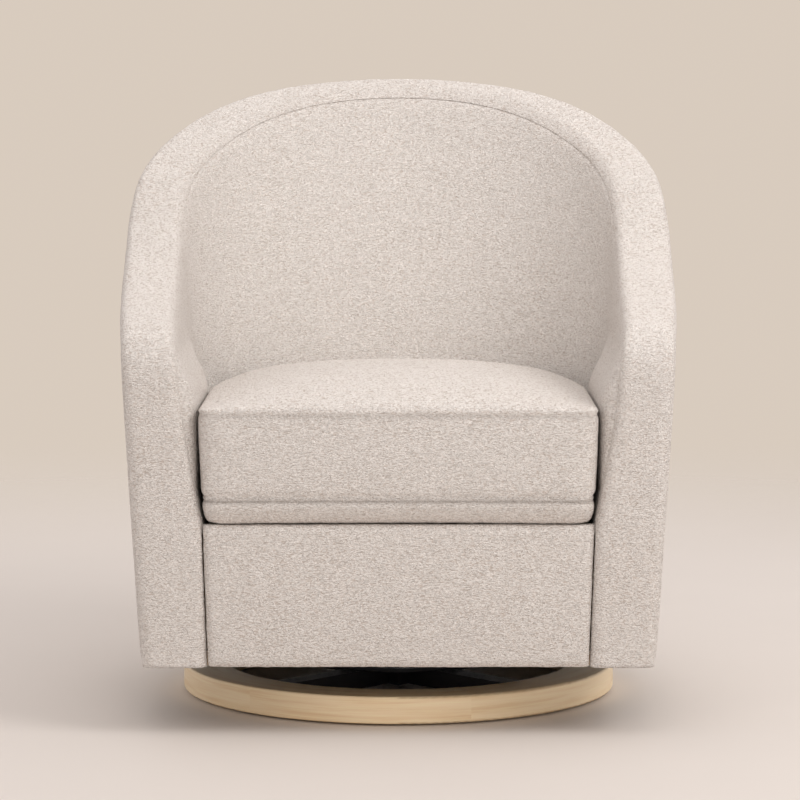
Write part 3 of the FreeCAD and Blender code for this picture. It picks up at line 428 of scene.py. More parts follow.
class Graph:
    """Adds and joins the nodes of one node tree."""

    def __init__(self, tree: NodeTree) -> None:
        """Starts on an empty tree."""
        self.tree = tree
        tree.nodes.clear()

    def add(self, kind: str, inputs: dict[Any, Any] | None = None, **settings: Any) -> Node:
        """Adds a node.

        Args:
            kind: Type of the node.
            inputs: Values or sockets for its inputs, by name or number.
            settings: Attributes of the node.

        Returns:
            The new node.
        """
        node = self.tree.nodes.new(kind)
        for key, value in settings.items():
            setattr(node, key, value)
        self.feed(node, inputs or {})
        return node

    def feed(self, node: Node, inputs: dict[Any, Any]) -> None:
        """Sets a node's inputs, or joins them to other nodes.

        Args:
            node: The node.
            inputs: Values or sockets for its inputs, by name or number.
        """
        for key, value in inputs.items():
            if isinstance(value, NodeSocket):
                self.tree.links.new(value, node.inputs[key])
            else:
                node.inputs[key].default_value = value

    def math(self, operation: str, a: Any, b: Any = 0.0, clamp: bool = False) -> NodeSocket:
        """Adds a Math node and returns its result."""
        return self.add("ShaderNodeMath", {0: a, 1: b}, operation=operation, use_clamp=clamp).outputs[0]

    def times(self, a: Any, b: Any) -> NodeSocket:
        """Multiplies two numbers."""
        return self.math("MULTIPLY", a, b)

    def plus(self, *terms: Any) -> NodeSocket:
        """Adds up numbers, from the first to the last."""
        return reduce(lambda total, term: self.math("ADD", total, term), terms)

    def vector(self, operation: str, a: Any, b: Any) -> NodeSocket:
        """Adds a Vector Math node and returns its result."""
        return self.add("ShaderNodeVectorMath", {0: a, 1: b}, operation=operation).outputs[0]

    def scale(self, vector: Any, by: Any) -> NodeSocket:
        """Scales a vector by a number."""
        return self.add("ShaderNodeVectorMath", {0: vector, "Scale": by}, operation="SCALE").outputs[0]

    def combine(self, x: Any, y: Any, z: Any) -> NodeSocket:
        """Makes a vector of three numbers."""
        return self.add("ShaderNodeCombineXYZ", {0: x, 1: y, 2: z}).outputs[0]

    def mix(self, amount: Any, a: Any, b: Any) -> NodeSocket:
        """Mixes two colours, each a socket or three numbers."""
        a, b = ((*colour, 1) if isinstance(colour, tuple) else colour for colour in (a, b))
        return self.add("ShaderNodeMix", {0: amount, 6: a, 7: b}, data_type="RGBA").outputs[2]

    def ramp(self, value: Any, low: float, high: float) -> NodeSocket:
        """Stretches a range of values smoothly to 0 to 1."""
        limits = {0: value, 1: low, 2: high, 3: 0.0, 4: 1.0}
        return self.add("ShaderNodeMapRange", limits, interpolation_type="SMOOTHSTEP").outputs[0]

    def noise(self, place: Any, scale: float, detail: float = 3.0) -> Node:
        """Adds a Noise Texture."""
        return self.add("ShaderNodeTexNoise", {"Vector": place, "Scale": scale, "Detail": detail})


class Effect(Enum):
    """Shader node groups that several finishes share."""

    LOOPS = "looped_cloth"
    MOTTLE = "mottle"
    RELIEF = "fine_relief"


def open_group(
    effect: Effect, inputs: dict[str, float], outputs: tuple[str, ...]
) -> tuple[Graph, Node, Node]:
    """Starts a node group with a place, some numbers and its outputs.

    Args:
        effect: Which group it is.
        inputs: Names and usual values of its numbers.
        outputs: Names of its outputs.

    Returns:
        Its graph, its input node and its output node.
    """
    tree = bpy.data.node_groups.new(effect.value, "ShaderNodeTree")
    graph = Graph(tree)
    tree.interface.new_socket("Place", in_out="INPUT", socket_type="NodeSocketVector")
    for name, value in inputs.items():
        socket = tree.interface.new_socket(name, in_out="INPUT", socket_type="NodeSocketFloat")
        socket.default_value = value
    for name in outputs:
        tree.interface.new_socket(name, in_out="OUTPUT", socket_type="NodeSocketFloat")
    return graph, graph.add("NodeGroupInput"), graph.add("NodeGroupOutput")


def build_loops() -> None:
    """Looped cloth: curled loops of slub yarn that lie mostly level, with painted shade in the gaps
    between them and painted highlights on their tips.
    """
    graph, start, end = open_group(
        Effect.LOOPS, {"Loops per metre": 250.0, "Flatness": 2.7, "Wander": 1.0},
        ("Height", "Light", "TipHighlights")
    )
    scaled = graph.scale(start.outputs["Place"], start.outputs["Loops per metre"])
    place = graph.vector("MULTIPLY", scaled, graph.combine(1.0, 1.0, start.outputs["Flatness"]))
    wander = graph.vector("SUBTRACT", graph.noise(place, 0.55, 2.0).outputs["Color"], (0.5, 0.5, 0.5))
    place = graph.vector("ADD", place, graph.scale(wander, start.outputs["Wander"]))
    cells = graph.add("ShaderNodeTexVoronoi", {"Vector": place, "Scale": 1.0})
    elsewhere = graph.vector("ADD", place, (17.3, 5.1, 9.7))
    curls = graph.add("ShaderNodeTexVoronoi", {"Vector": elsewhere, "Scale": 0.83})
    mound = graph.math("SUBTRACT", 1.0, cells.outputs["Distance"], clamp=True)
    off_ring = graph.math("ABSOLUTE", graph.math("SUBTRACT", curls.outputs["Distance"], 0.42))
    ring = graph.math("SUBTRACT", 1.0, graph.times(off_ring, 4.2), clamp=True)
    crinkle = graph.noise(place, 2.3, 3.0).outputs[0]
    broad = graph.noise(place, 0.16, 2.0).outputs[0]
    yarn = graph.noise(place, 7.0, 2.0).outputs[0]
    height = graph.plus(graph.times(mound, 0.55), graph.times(ring, 0.30), graph.times(crinkle, 0.42),
                        graph.times(yarn, 0.12), graph.times(broad, 0.10))
    graph.feed(end, {"Height": height})
    # Painted shade: the lower the cloth between the loops, the darker its colour, plus a little random
    # tone per loop.
    own = graph.times(cells.outputs["Color"], 0.10)
    light = graph.plus(own, height)
    graph.feed(end, {"Light": graph.ramp(light, 0.40, 0.90)})
    # Painted highlights: the highest crinkles on the loops turn near white.
    tip_highlights = graph.plus(graph.times(crinkle, 0.9), graph.times(mound, 0.45))
    graph.feed(end, {"TipHighlights": graph.ramp(tip_highlights, 0.76, 0.98)})


def build_mottle() -> None:
    """Soft clouds that vary a colour slightly over a surface."""
    graph, start, end = open_group(Effect.MOTTLE, {"Clouds per metre": 12.0}, ("Cloud", "Speck"))
    place = graph.scale(start.outputs["Place"], start.outputs["Clouds per metre"])
    cloud = graph.noise(place, 1.0, 4.0).outputs[0]
    speck = graph.noise(place, 19.0, 3.0).outputs[0]
    graph.feed(end, {"Cloud": graph.ramp(cloud, 0.3, 0.7), "Speck": graph.ramp(speck, 0.35, 0.65)})


def build_relief() -> None:
    """Fine orange-peel relief of paint, plastic or felt."""
    graph, start, end = open_group(Effect.RELIEF, {"Grains per metre": 900.0}, ("Height",))
    place = graph.scale(start.outputs["Place"], start.outputs["Grains per metre"])
    graph.feed(end, {"Height": graph.noise(place, 1.0, 2.0).outputs[0]})


def new_material(name: str) -> tuple[Graph, Node, NodeSocket]:
    """Starts a material.

    Args:
        name: Name of the material.

    Returns:
        Its graph, its Principled BSDF and the socket of the object's own coordinates.
    """
    plain = bpy.data.materials.get(name)
    if plain is not None:
        plain.name = f"{name}_plain"
    material = bpy.data.materials.new(name)
    material.use_nodes = True
    graph = Graph(material.node_tree)
    shader = graph.add("ShaderNodeBsdfPrincipled")
    graph.add("ShaderNodeOutputMaterial", {"Surface": shader.outputs[0]})
    place = graph.add("ShaderNodeTexCoord").outputs["Object"]
    return graph, shader, place


def use_group(graph: Graph, effect: Effect, place: Any, **numbers: float) -> Node:
    """Places a shared group in a material.

    Args:
        graph: Graph of the material.
        effect: Which group it is.
        place: Socket of the coordinates.
        numbers: Its own numbers, by name, with underscores for spaces.

    Returns:
        The group's node.
    """
    inputs = {name.replace("_", " "): value for name, value in numbers.items()}
    tree = bpy.data.node_groups[effect.value]
    return graph.add("ShaderNodeGroup", {"Place": place, **inputs}, node_tree=tree)


def shaded(colour: Colour, factor: float) -> Colour:
    """Darkens or lightens a colour."""
    return tuple(min(1.0, channel * factor) for channel in colour)


def bump(graph: Graph, shader: Node, height: Any, strength: float, distance: float) -> None:
    """Joins a height to a shader's normal."""
    node = graph.add("ShaderNodeBump", {"Height": height, "Strength": strength, "Distance": distance})
    graph.feed(shader, {"Normal": node.outputs[0]})


@dataclass(frozen=True)
class LoopedCloth:
    """Cream looped cloth: light loops with painted highlights on their tips, painted warm shade in the
    gaps between them and in the seams, and a soft bloom at grazing angles.
    """

    name: str = "boucle"
    # Colour of the painted highlights on the loop tips.
    tip: Colour = (0.97, 0.945, 0.91)
    peak: Colour = (0.935, 0.885, 0.84)
    # Colour of the painted shade in the gaps between the loops.
    gap: Colour = (0.56, 0.485, 0.43)
    loops: float = 265.0
    strength: float = 1.0
    relief: float = 0.0024

    def build(self) -> None:
        """Makes the material."""
        graph, shader, place = new_material(self.name)
        cloth = use_group(graph, Effect.LOOPS, place, Loops_per_metre=self.loops)
        cloud = use_group(graph, Effect.MOTTLE, place, Clouds_per_metre=9.0)
        # Painted shade: gap colour where the loops are low, peak colour where they are high.
        colour = graph.mix(cloth.outputs["Light"], self.gap, self.peak)
        tint = shaded(self.peak, 0.92)
        colour = graph.mix(graph.times(cloud.outputs["Cloud"], 0.18), colour, tint)
        # Painted highlights on the loop tips.
        colour = graph.mix(graph.times(cloth.outputs["TipHighlights"], 0.85), colour, self.tip)
        # Painted shade along the seams, darkened by the 'seam' attribute.
        seam = graph.add("ShaderNodeAttribute", attribute_name="seam", attribute_type="GEOMETRY")
        deep = shaded(self.gap, 0.55)
        colour = graph.mix(graph.times(seam.outputs["Fac"], 0.6), colour, deep)
        graph.feed(shader, {"Base Color": colour, "Roughness": 0.95, "Specular IOR Level": 0.15,
                            "Sheen Weight": 0.22, "Sheen Roughness": 0.6,
                            "Sheen Tint": (1.0, 0.95, 0.9, 1)})
        bump(graph, shader, cloth.outputs["Height"], self.strength, self.relief)


@dataclass(frozen=True)
class RingWood:
    """Pale lacquered wood whose grain runs round the ring."""

    name: str = "ring_wood"
    light: Colour = (0.96, 0.775, 0.52)
    dark: Colour = (0.84, 0.61, 0.355)

    def build(self) -> None:
        """Makes the material."""
        graph, shader, place = new_material(self.name)
        parts = graph.add("ShaderNodeSeparateXYZ", {0: place})
        x, y, z = parts.outputs[0], parts.outputs[1], parts.outputs[2]
        turn = graph.math("ARCTAN2", y, x)
        radius = graph.math("SQRT", graph.plus(graph.times(x, x), graph.times(y, y)))
        segment = graph.math("FLOOR", graph.times(graph.plus(turn, 3.34), 6 / math.tau))
        run = graph.times(turn, 0.275 * 7)
        across = graph.plus(graph.times(radius, 95.0), graph.times(segment, 7.3))
        grain = graph.noise(graph.combine(across, run, graph.times(z, 120.0)), 1.0, 5.0).outputs[0]
        fine = graph.combine(graph.times(across, 6.0), graph.times(run, 2.5), graph.times(z, 700.0))
        streak = graph.noise(fine, 1.0, 4.0).outputs[0]
        amount = graph.ramp(grain, 0.35, 0.72)
        colour = graph.mix(amount, self.light, self.dark)
        pale = shaded(self.light, 1.12)
        colour = graph.mix(graph.times(graph.ramp(streak, 0.4, 0.7), 0.45), colour, pale)
        graph.feed(shader, {"Base Color": colour})
        rough = graph.plus(graph.times(streak, 0.16), 0.34)
        graph.feed(shader, {"Roughness": rough, "Coat Weight": 0.15, "Coat Roughness": 0.3})
        bump(graph, shader, streak, 0.12, 0.0004)


@dataclass(frozen=True)
class Plywood:
    """Raw plywood and softwood: level layers with streaks."""

    name: str = "plywood"
    light: Colour = (0.68, 0.51, 0.33)
    dark: Colour = (0.40, 0.26, 0.14)

    def build(self) -> None:
        """Makes the material."""
        graph, shader, place = new_material(self.name)
        parts = graph.add("ShaderNodeSeparateXYZ", {0: place})
        layer = graph.math("FRACT", graph.times(parts.outputs[2], 1 / 0.003))
        dark_layer = graph.ramp(graph.math("ABSOLUTE", graph.math("SUBTRACT", layer, 0.5)), 0.2, 0.3)
        long = graph.vector("MULTIPLY", place, (18.0, 160.0, 160.0))
        streak = graph.noise(long, 1.0, 4.0).outputs[0]
        cloud = use_group(graph, Effect.MOTTLE, place, Clouds_per_metre=14.0)
        amount = graph.math("ADD", graph.times(dark_layer, 0.35),
                            graph.times(graph.ramp(streak, 0.35, 0.7), 0.4), clamp=True)
        colour = graph.mix(amount, self.light, self.dark)
        pale = shaded(self.light, 1.1)
        colour = graph.mix(graph.times(cloud.outputs["Cloud"], 0.3), colour, pale)
        graph.feed(shader, {"Base Color": colour, "Roughness": 0.75})
        bump(graph, shader, streak, 0.3, 0.0005)


@dataclass(frozen=True)
class Metal:
    """Metal or paint on metal, slightly clouded, with a fine relief."""

    name: str
    colour: Colour
    metallic: float
    roughness: float
    relief: float
    grains: float

    def build(self) -> None:
        """Makes the material."""
        graph, shader, place = new_material(self.name)
        cloud = use_group(graph, Effect.MOTTLE, place, Clouds_per_metre=25.0)
        fine = use_group(graph, Effect.RELIEF, place, Grains_per_metre=self.grains)
        amount = graph.times(cloud.outputs["Cloud"], 0.5)
        colour = graph.mix(amount, self.colour, shaded(self.colour, 0.72))
        graph.feed(shader, {"Base Color": colour})
        rough = graph.plus(graph.times(cloud.outputs["Speck"], 0.14), self.roughness - 0.07)
        graph.feed(shader, {"Roughness": rough, "Metallic": self.metallic})
        bump(graph, shader, fine.outputs["Height"], self.relief, 0.0003)


@dataclass(frozen=True)
class SoftMatter:
    """Felt, foam, nylon or dust cloth: matt, speckled, with a fine relief."""

    name: str
    colour: Colour
    other: Colour
    roughness: float
    relief: float
    grains: float

    def build(self) -> None:
        """Makes the material."""
        graph, shader, place = new_material(self.name)
        cloud = use_group(graph, Effect.MOTTLE, place, Clouds_per_metre=40.0)
        fine = use_group(graph, Effect.RELIEF, place, Grains_per_metre=self.grains)
        amount = graph.times(cloud.outputs["Speck"], 0.8)
        colour = graph.mix(amount, self.colour, self.other)
        graph.feed(shader, {"Base Color": colour, "Roughness": self.roughness})
        bump(graph, shader, fine.outputs["Height"], self.relief, 0.0005)


class Finishes:
    """Every finish of the chair, by the record's slot name."""

    def __init__(self) -> None:
        """Builds the shared groups and then the materials."""
        build_loops()
        build_mottle()
        build_relief()
        makers = [
            LoopedCloth(),
            RingWood(),
            Plywood(),
            Metal("black_steel", (0.018, 0.018, 0.02), 0.0, 0.42, 0.25, 1300.0),
            Metal("zinc_steel", (0.62, 0.63, 0.64), 1.0, 0.32, 0.1, 900.0),
            Metal("bearing_steel", (0.5, 0.5, 0.51), 1.0, 0.25, 0.08, 1500.0),
            Metal("ball_steel", (0.8, 0.8, 0.82), 1.0, 0.12, 0.03, 900.0),
            Metal("spring_steel", (0.09, 0.09, 0.1), 1.0, 0.45, 0.15, 1500.0),
            SoftMatter("nylon", (0.78, 0.76, 0.7), (0.7, 0.68, 0.62), 0.45, 0.1, 500.0),
            SoftMatter("felt", (0.09, 0.08, 0.075), (0.16, 0.15, 0.14), 0.95, 0.8, 1500.0),
            SoftMatter("foam", (0.74, 0.68, 0.55), (0.66, 0.6, 0.47), 0.95, 0.7, 900.0),
            SoftMatter("cambric", (0.02, 0.02, 0.021), (0.035, 0.035, 0.036), 0.9, 0.5, 1200.0),
        ]
        for maker in makers:
            maker.build()
        self.by_slot = {maker.name: bpy.data.materials[maker.name] for maker in makers}

    def dress(self, obj: Object, slot: str) -> None:
        """Gives a piece the finish of a slot.

        Args:
            obj: The piece.
            slot: The record's name of the finish.
        """
        material = self.by_slot[slot]
        if not obj.material_slots:
            obj.data.materials.append(material)
        for place in obj.material_slots:
            place.material = material


# Sub-assemblies


@dataclass
class SoftPiece:
    """A piece of upholstery that stands for solids of the frame.

    Args:
        finishes: Where the cloth comes from.
        body: Body that the piece rides on.
        slot: Slot of its finish.
        fill: How full its padding is; not used.
    """

    finishes: Finishes
    body: str = "seat"
    slot: str = "boucle"
    fill: float = 0.9

    def settle(self, obj: Object, *nodes: str) -> None:
        """Dresses the piece, ties it to its body and hides what it stands for.

        Args:
            obj: The finished piece.
            nodes: Nodes that it stands for.
        """
        self.finishes.dress(obj, self.slot)
        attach(obj, self.body)
        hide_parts(*nodes)
        log.info("%s: %d faces", obj.name, len(obj.data.polygons))


@dataclass
class WrappedPiece(SoftPiece):
    """A soft piece whose surface is one sheet, bent round into a closed tube.

    Args:
        name: Name of the piece.
        node: Node that it stands for.
        seed: Pattern of the cloth's lumps, or 0 for smooth cloth.
        around: Faces along the piece.
        across: Faces round its section.
    """

    name: str = ""
    node: str = ""
    seed: int = 0
    around: int = 110
    across: int = 110

    def point(self, along: Array, place: Array) -> Array:
        """Point of the surface.

        Args:
            along: From 0 at the piece's left end to 1 at its right.
            place: From 0 to 1 round its section.

        Returns:
            Points, with their coordinates in the last axis.
        """
        raise NotImplementedError

    def build(self) -> None:
        """Makes the piece."""
        obj = wrapped_grid(self.name, self.around, self.across, self.point)
        if self.seed:
            nub_cloth(obj, seed=self.seed)
        self.settle(obj, self.node)


@dataclass
class RimBand(WrappedPiece):
    """Padded band over the arm fronts and along the whole rim."""

    name: str = "rim_band_cloth"
    node: str = "rim_band"
    seed: int = 3
    depth: float = 0.0235
    radius: float = 0.0115
    crown: float = 0.002
    around: int = 640
    across: int = 46

    def point(self, along: Array, place: Array) -> Array:
        """Point of the band, from one arm's foot to the other's.

        Args:
            along: From 0 at the left end to 1 at the right.
            place: From 0 to 1 round the section.

        Returns:
            Points of the piece.
        """
        side = np.where(along < 0.5, -1.0, 1.0)
        part = 1 - np.abs(2 * along - 1)
        arm_length = RIM.at(RAY_Y)
        back_length = 0.52
        run = part * (arm_length + back_length)
        on_arm = run < arm_length
        turn = np.radians(90) * np.clip((run - arm_length) / back_length, 0, 1)

        y0 = np.interp(run, RIM.length, RIM.points[:, 0])
        z0 = np.interp(run, RIM.length, RIM.points[:, 1])
        y0 = np.where(on_arm, y0, RAY_Y)
        ny = np.interp(run, RIM.length, RIM.normals[:, 0])
        nz = np.interp(run, RIM.length, RIM.normals[:, 1])
        upright = smooth_step(-0.29, -0.1, y0)
        dy = ny * (1 - upright)
        dz = nz * (1 - upright) + RIM.drop(y0) * upright

        width_arm = OUTSIDE.half_width(y0, z0) - INSIDE.half_width(y0, z0)
        z_mid = RIM.height(RAY_Y + 0.36 * np.sin(turn))
        width_back = OUTSIDE.reach(turn, z_mid) - INSIDE.reach(turn, z_mid)
        width = np.where(on_arm, width_arm, width_back)
        across, deep = rounded_section(width, self.depth, self.radius, place)
        part_across = across / width
        lift = np.clip(4 * part_across * (1 - part_across), 0, 1) ** 0.6 - 0.45
        upper = np.clip(1 - deep / self.depth, 0, 1)
        deep = deep - self.crown * lift * upper
        inner = smooth_step(0.5, 0.0, part_across)
        deep = np.where(deep > 0.011, 0.011 + (deep - 0.011) * (1 - inner * 0.9), deep)

        y_arm, z_arm = y0 - dy * deep, z0 - dz * deep
        inside_x, outside_x = INSIDE.half_width(y_arm, z_arm), OUTSIDE.half_width(y_arm, z_arm)
        x_arm = inside_x + (outside_x - inside_x) * part_across

        z = z_mid - deep
        for _ in range(ROUNDS):
            reach = INSIDE.reach(turn, z) * (1 - part_across) + OUTSIDE.reach(turn, z) * part_across
            y = RAY_Y + reach * np.sin(turn)
            z = RIM.height(y) - deep * RIM.drop(y)
        x = np.where(on_arm, x_arm, reach * np.cos(turn))
        y = np.where(on_arm, y_arm, y)
        z = np.where(on_arm, z_arm, z)
        z += FOOT_RISE * smooth_step(0.14, 0.088, z)
        return np.stack([side * x, y, z], axis=-1)


@dataclass
class InsidePad(WrappedPiece):
    """Padding of the inside back and arms, sewn to the band along its whole edge."""

    name: str = "inside_pad_cloth"
    node: str = "inside_pad"
    seed: int = 11
    low: float = 0.268
    seam_drop: float = 0.0102
    front: float = -0.3725
    cushion_side: float = 0.2660
    most_swell: float = 0.03
    bulge: float = 0.004
    puff: float = 0.0125
    seam_width: float = 0.0035
    seam_depth: float = 0.0035
    thickness: float = 0.022
    around: int = 380
    across: int = 150

    def point(self, along: Array, place: Array) -> Array:
        """Point of the padding, up its face, over its edge, down its rear and back along its foot.

        Args:
            along: From 0 at the left end to 1 at the right.
            place: From 0 to 1 round the section.

        Returns:
            Points of the piece.
        """
        p = 2 * along - 1
        v = np.where(place <= EDGE_END, rise(0, FACE_END, place), 1 - rise(EDGE_END, FOOT_START, place))
        z_top = np.full_like(p, TOP_GUESS)
        for _ in range(ROUNDS):
            y = np.clip(plan_point(INSIDE, p, z_top, self.front)[..., 1], -0.36, 0.5)
            z_top = RIM.height(y) - self.seam_drop * RIM.drop(y)
        corner = smooth_step(-0.31, -0.3725, y)
        z_top = z_top - 0.030 * corner**2
        height = z_top - self.low
        z = self.low + height * v
        level = plan_point(INSIDE, p, z, self.front)
        to_top, to_front = z_top - z, level[..., 1] - self.front
        clear = np.clip(to_front, 0, None)
        swell = (1 - np.exp(-to_top / self.puff)) * (1 - np.exp(-clear / self.puff))
        seam = bell(to_top, self.seam_width) + bell(to_front, self.seam_width)
        inward = self.bulge * swell - self.seam_depth * np.clip(seam, 0, 1) - 0.001
        depth = self.thickness * rise(FACE_END, EDGE_END, place) * (1 - rise(FOOT_START, 1, place))
        room = np.clip(np.abs(level[..., 0]) - self.cushion_side, 0, self.most_swell)
        beside = smooth_step(0.51, 0.43, z) * smooth_step(0.50, 0.68, np.abs(p))
        beside = beside * (1 - np.exp(-clear / 0.01))
        return plan_point(INSIDE, p, z, self.front, grow=depth - inward - room * beside)


@dataclass
class OutsideCover(WrappedPiece):
    """Cloth round the outside, with an upright seam at each rear quarter and its foot turned under."""

    name: str = "outside_cloth"
    node: str = "outside_cover"
    seed: int = 23
    fill: float = 1.0
    low: float = 0.088 + FOOT_RISE
    band_depth: float = 0.0236
    thickness: float = 0.006
    around: int = 400
    across: int = 150

    def point(self, along: Array, place: Array) -> Array:
        """Point of the cover, up its face, down its lining and back along its foot.

        Args:
            along: From 0 at the left end to 1 at the right.
            place: From 0 to 1 round the section.

        Returns:
            Points of the piece.
        """
        p = 2 * along - 1
        v = np.where(place < EDGE_END, place / EDGE_END, 1 - rise(EDGE_END, FOOT_START, place))
        z_top = np.full_like(p, TOP_GUESS)
        front = RIM.front(z_top) + self.band_depth
        for _ in range(ROUNDS):
            y = np.clip(plan_point(OUTSIDE, p, z_top, front)[..., 1], -0.34, 0.5)
            z_top = RIM.height(y) - 0.0242 * RIM.drop(y)
            front = RIM.front(self.low + (z_top - self.low) * v) + self.band_depth
        z = self.low + (z_top - self.low) * v
        lining = smooth_step(0.872, 0.888, place) * (1 - rise(FOOT_START, 1, place))
        foot = np.exp(-np.clip(z - self.low, 0, None) / 0.006) * 0.006
        top_seam = bell(z_top - z, 0.003)
        front_seam = bell((np.abs(p) - 1) * 0.9, 0.003)
        rear_seam = bell((np.abs(p) - 0.40) * 0.9, 0.0028)
        swell = 0.0022 * (1 - np.exp(-(z_top - z) / 0.03)) * (1 - np.exp(-np.abs(np.abs(p) - 0.4) / 0.04))
        grow = swell - 0.0025 * top_seam - 0.0025 * front_seam - 0.0032 * rear_seam - foot
        grow = np.where(lining > 0, grow * (1 - lining) - lining * self.thickness, grow)
        return plan_point(OUTSIDE, p, z, front, grow=grow)


@dataclass
class Apron(WrappedPiece):
    """Padded front panel under the cushion."""

    name: str = "front_apron_cloth"
    node: str = "front_apron"
    seed: int = 31
    front: float = -0.378
    rear: float = -0.351
    low: float = 0.088 + FOOT_RISE
    high: float = 0.2794
    radius: float = 0.009
    around: int = 116
    across: int = 100

    def point(self, along: Array, place: Array) -> Array:
        """Point of the panel, with its section upright and its length across the chair.

        Args:
            along: From 0 at the left end to 1 at the right.
            place: From 0 to 1 round the section.

        Returns:
            Points of the piece.
        """
        height = self.high - self.low
        across, deep = rounded_section(np.full_like(place, height), self.rear - self.front,
                                       self.radius, place)
        t = 2 * along - 1
        z = self.low + across
        swell = 0.0035 * (1 - t**8) * np.clip(4 * (across / height) * (1 - across / height), 0, 1) ** 0.5
        end = 1 - np.clip((np.abs(t) - 0.965) / 0.035, 0, 1) ** 3
        y = self.front + deep - swell + 0.003 + (1 - end) * 0.006
        half = INSIDE.half_width(y, z) - 0.0016
        return np.stack([t * half, np.minimum(y, self.rear), z], axis=-1)


@dataclass
class SeatCushion(SoftPiece):
    """Loose boxed cushion, blown up like cloth over its foam and sewn round its edges."""

    body: str = "cushion"
    fill: float = 0.85
    low: float = 0.2845
    high: float = 0.433
    seam_low: float = 0.315
    front: float = -0.389
    rear: float = 0.153
    centre: float = -0.11
    corner: float = 0.024
    swell_limit: float = 0.010
    half_low: float = 0.2555
    half_high: float = 0.261
    crown: float = 0.035
    voxel: float = 0.006
    frames: int = 20

    def outline(self) -> list[tuple[float, float]]:
        """Plan of the cushion, going round it once.

        Returns:
            Points of the outline, as parts of the half width and depths in the chair.
        """
        inset = self.corner / 0.26
        points = [(1 - inset, self.front + 0.0008)]
        for i in range(1, 9):
            angle = math.radians(90) * i / 8
            back = self.corner * (1 - math.cos(angle))
            points.append((1 - inset * (1 - math.sin(angle)), self.front + back))
        points += [(1.0, y) for y in (-0.30, -0.24, -0.18)]
        for i in range(0, 25):
            angle = math.pi * i / 24
            points.append((math.cos(angle), self.centre + (self.rear - self.centre) * math.sin(angle)))
        points += [(-x, y) for x, y in reversed(points[:12])]
        return points

    def block(self) -> Object:
        """Plain block of the cushion's size.

        Returns:
            The block, with close, even faces.
        """
        bm = bmesh.new()
        verts = [bm.verts.new((x, y, self.low)) for x, y in self.outline()]
        base = bm.faces.new(verts)
        raised = bmesh.ops.extrude_face_region(bm, geom=[base])
        top = [item for item in raised["geom"] if isinstance(item, bmesh.types.BMVert)]
        bmesh.ops.translate(bm, verts=top, vec=Vector((0, 0, self.high - self.low)))
        for vert in bm.verts:
            part = (vert.co.z - self.low) / (self.high - self.low)
            vert.co.x *= self.half_low + (self.half_high - self.half_low) * part
        obj = finish_object("seat_cushion", bm)
        remesh = obj.modifiers.new("even", "REMESH")
        remesh.mode = "VOXEL"
        remesh.voxel_size = self.voxel
        self.apply(obj)
        return obj

    @staticmethod
    def apply(obj: Object) -> None:
        """Makes what the modifiers show the object's own mesh.

        Args:
            obj: Object with modifiers.
        """
        graph = bpy.context.evaluated_depsgraph_get()
        mesh = bpy.data.meshes.new_from_object(obj.evaluated_get(graph))
        old = obj.data
        obj.modifiers.clear()
        obj.data = mesh
        bpy.data.meshes.remove(old)

    def shape_block(self, obj: Object) -> None:
        """Crowns the top, draws in the under edge and lowers it at the front.

        Args:
            obj: The plain block.
        """
        points = get_points(obj.data)
        x, y, z = points[:, 0].copy(), points[:, 1].copy(), points[:, 2].copy()
        part = (z - self.low) / (self.high - self.low)
        crown = self.crown * (1 - (np.abs(x) / 0.264) ** 2.6) * (1 - (np.abs(y + 0.12) / 0.275) ** 3.0)
        z += np.clip(crown, 0, None) * part
        low_part = rise(self.seam_low, self.low, points[:, 2])
        side_inset = 0.008 * (1 - np.sqrt(np.clip(1 - low_part**2, 0, 1)))
        front_inset = 0.024 * low_part**2
        z -= 0.0042 * smooth_step(-0.335, -0.362, y) * (1 - part)
        middle = np.array([0.0, -0.12])
        flat = np.stack([x, y], axis=1) - middle
        size = np.linalg.norm(flat, axis=1)[:, None]
        near_edge = smooth_step(0.12, 0.24, size[:, 0])
        outward = flat / np.maximum(size, 1e-6)
        flat[:, 0] -= outward[:, 0] * side_inset * near_edge
        flat[:, 1] -= outward[:, 1] * front_inset * near_edge
        set_points(obj.data, np.column_stack([flat + middle, z]))

    def blow_up(self, obj: Object) -> None:
        """Lets air pressure swell the panels, while the seams and the underside hold still.

        Args:
            obj: The shaped block.
        """
        points = get_points(obj.data)
        normals = get_normals(obj.data)
        side = np.hypot(normals[:, 0], normals[:, 1]) > 0.5
        edge = np.abs(points[:, 2] - self.high) < 0.006
        under = points[:, 2] < self.low + 0.006
        held = under | side & (edge | (np.abs(points[:, 2] - self.seam_low) < 0.0035))
        seams = obj.vertex_groups.new(name="seams")
        seams.add([int(i) for i in np.nonzero(held)[0]], 1.0, "REPLACE")
        cloth = obj.modifiers.new("pressure", "CLOTH")
        settings = cloth.settings
        settings.quality = 4
        settings.mass = 0.3
        settings.tension_stiffness = settings.compression_stiffness = 15
        settings.shear_stiffness = 5
        settings.bending_stiffness = 0.5
        settings.use_pressure = True
        settings.uniform_pressure_force = 4
        settings.effector_weights.gravity = 0
        settings.vertex_group_mass = seams.name
        cloth.collision_settings.use_collision = False
        cloth.point_cache.frame_start, cloth.point_cache.frame_end = 1, self.frames
        scene = bpy.context.scene
        for frame in range(1, self.frames + 1):
            scene.frame_set(frame)
        graph = bpy.context.evaluated_depsgraph_get()
        blown = get_points(obj.evaluated_get(graph).data)
        obj.modifiers.clear()
        obj.vertex_groups.clear()
        scene.frame_set(1)
        move = blown - points
        far = np.linalg.norm(move, axis=1)[:, None]
        move *= self.swell_limit * np.tanh(far / self.swell_limit) / np.maximum(far, 1e-9)
        move[:, 2] = np.where(points[:, 2] < self.low + 0.003, np.maximum(move[:, 2], 0), move[:, 2])
        set_points(obj.data, points + move)

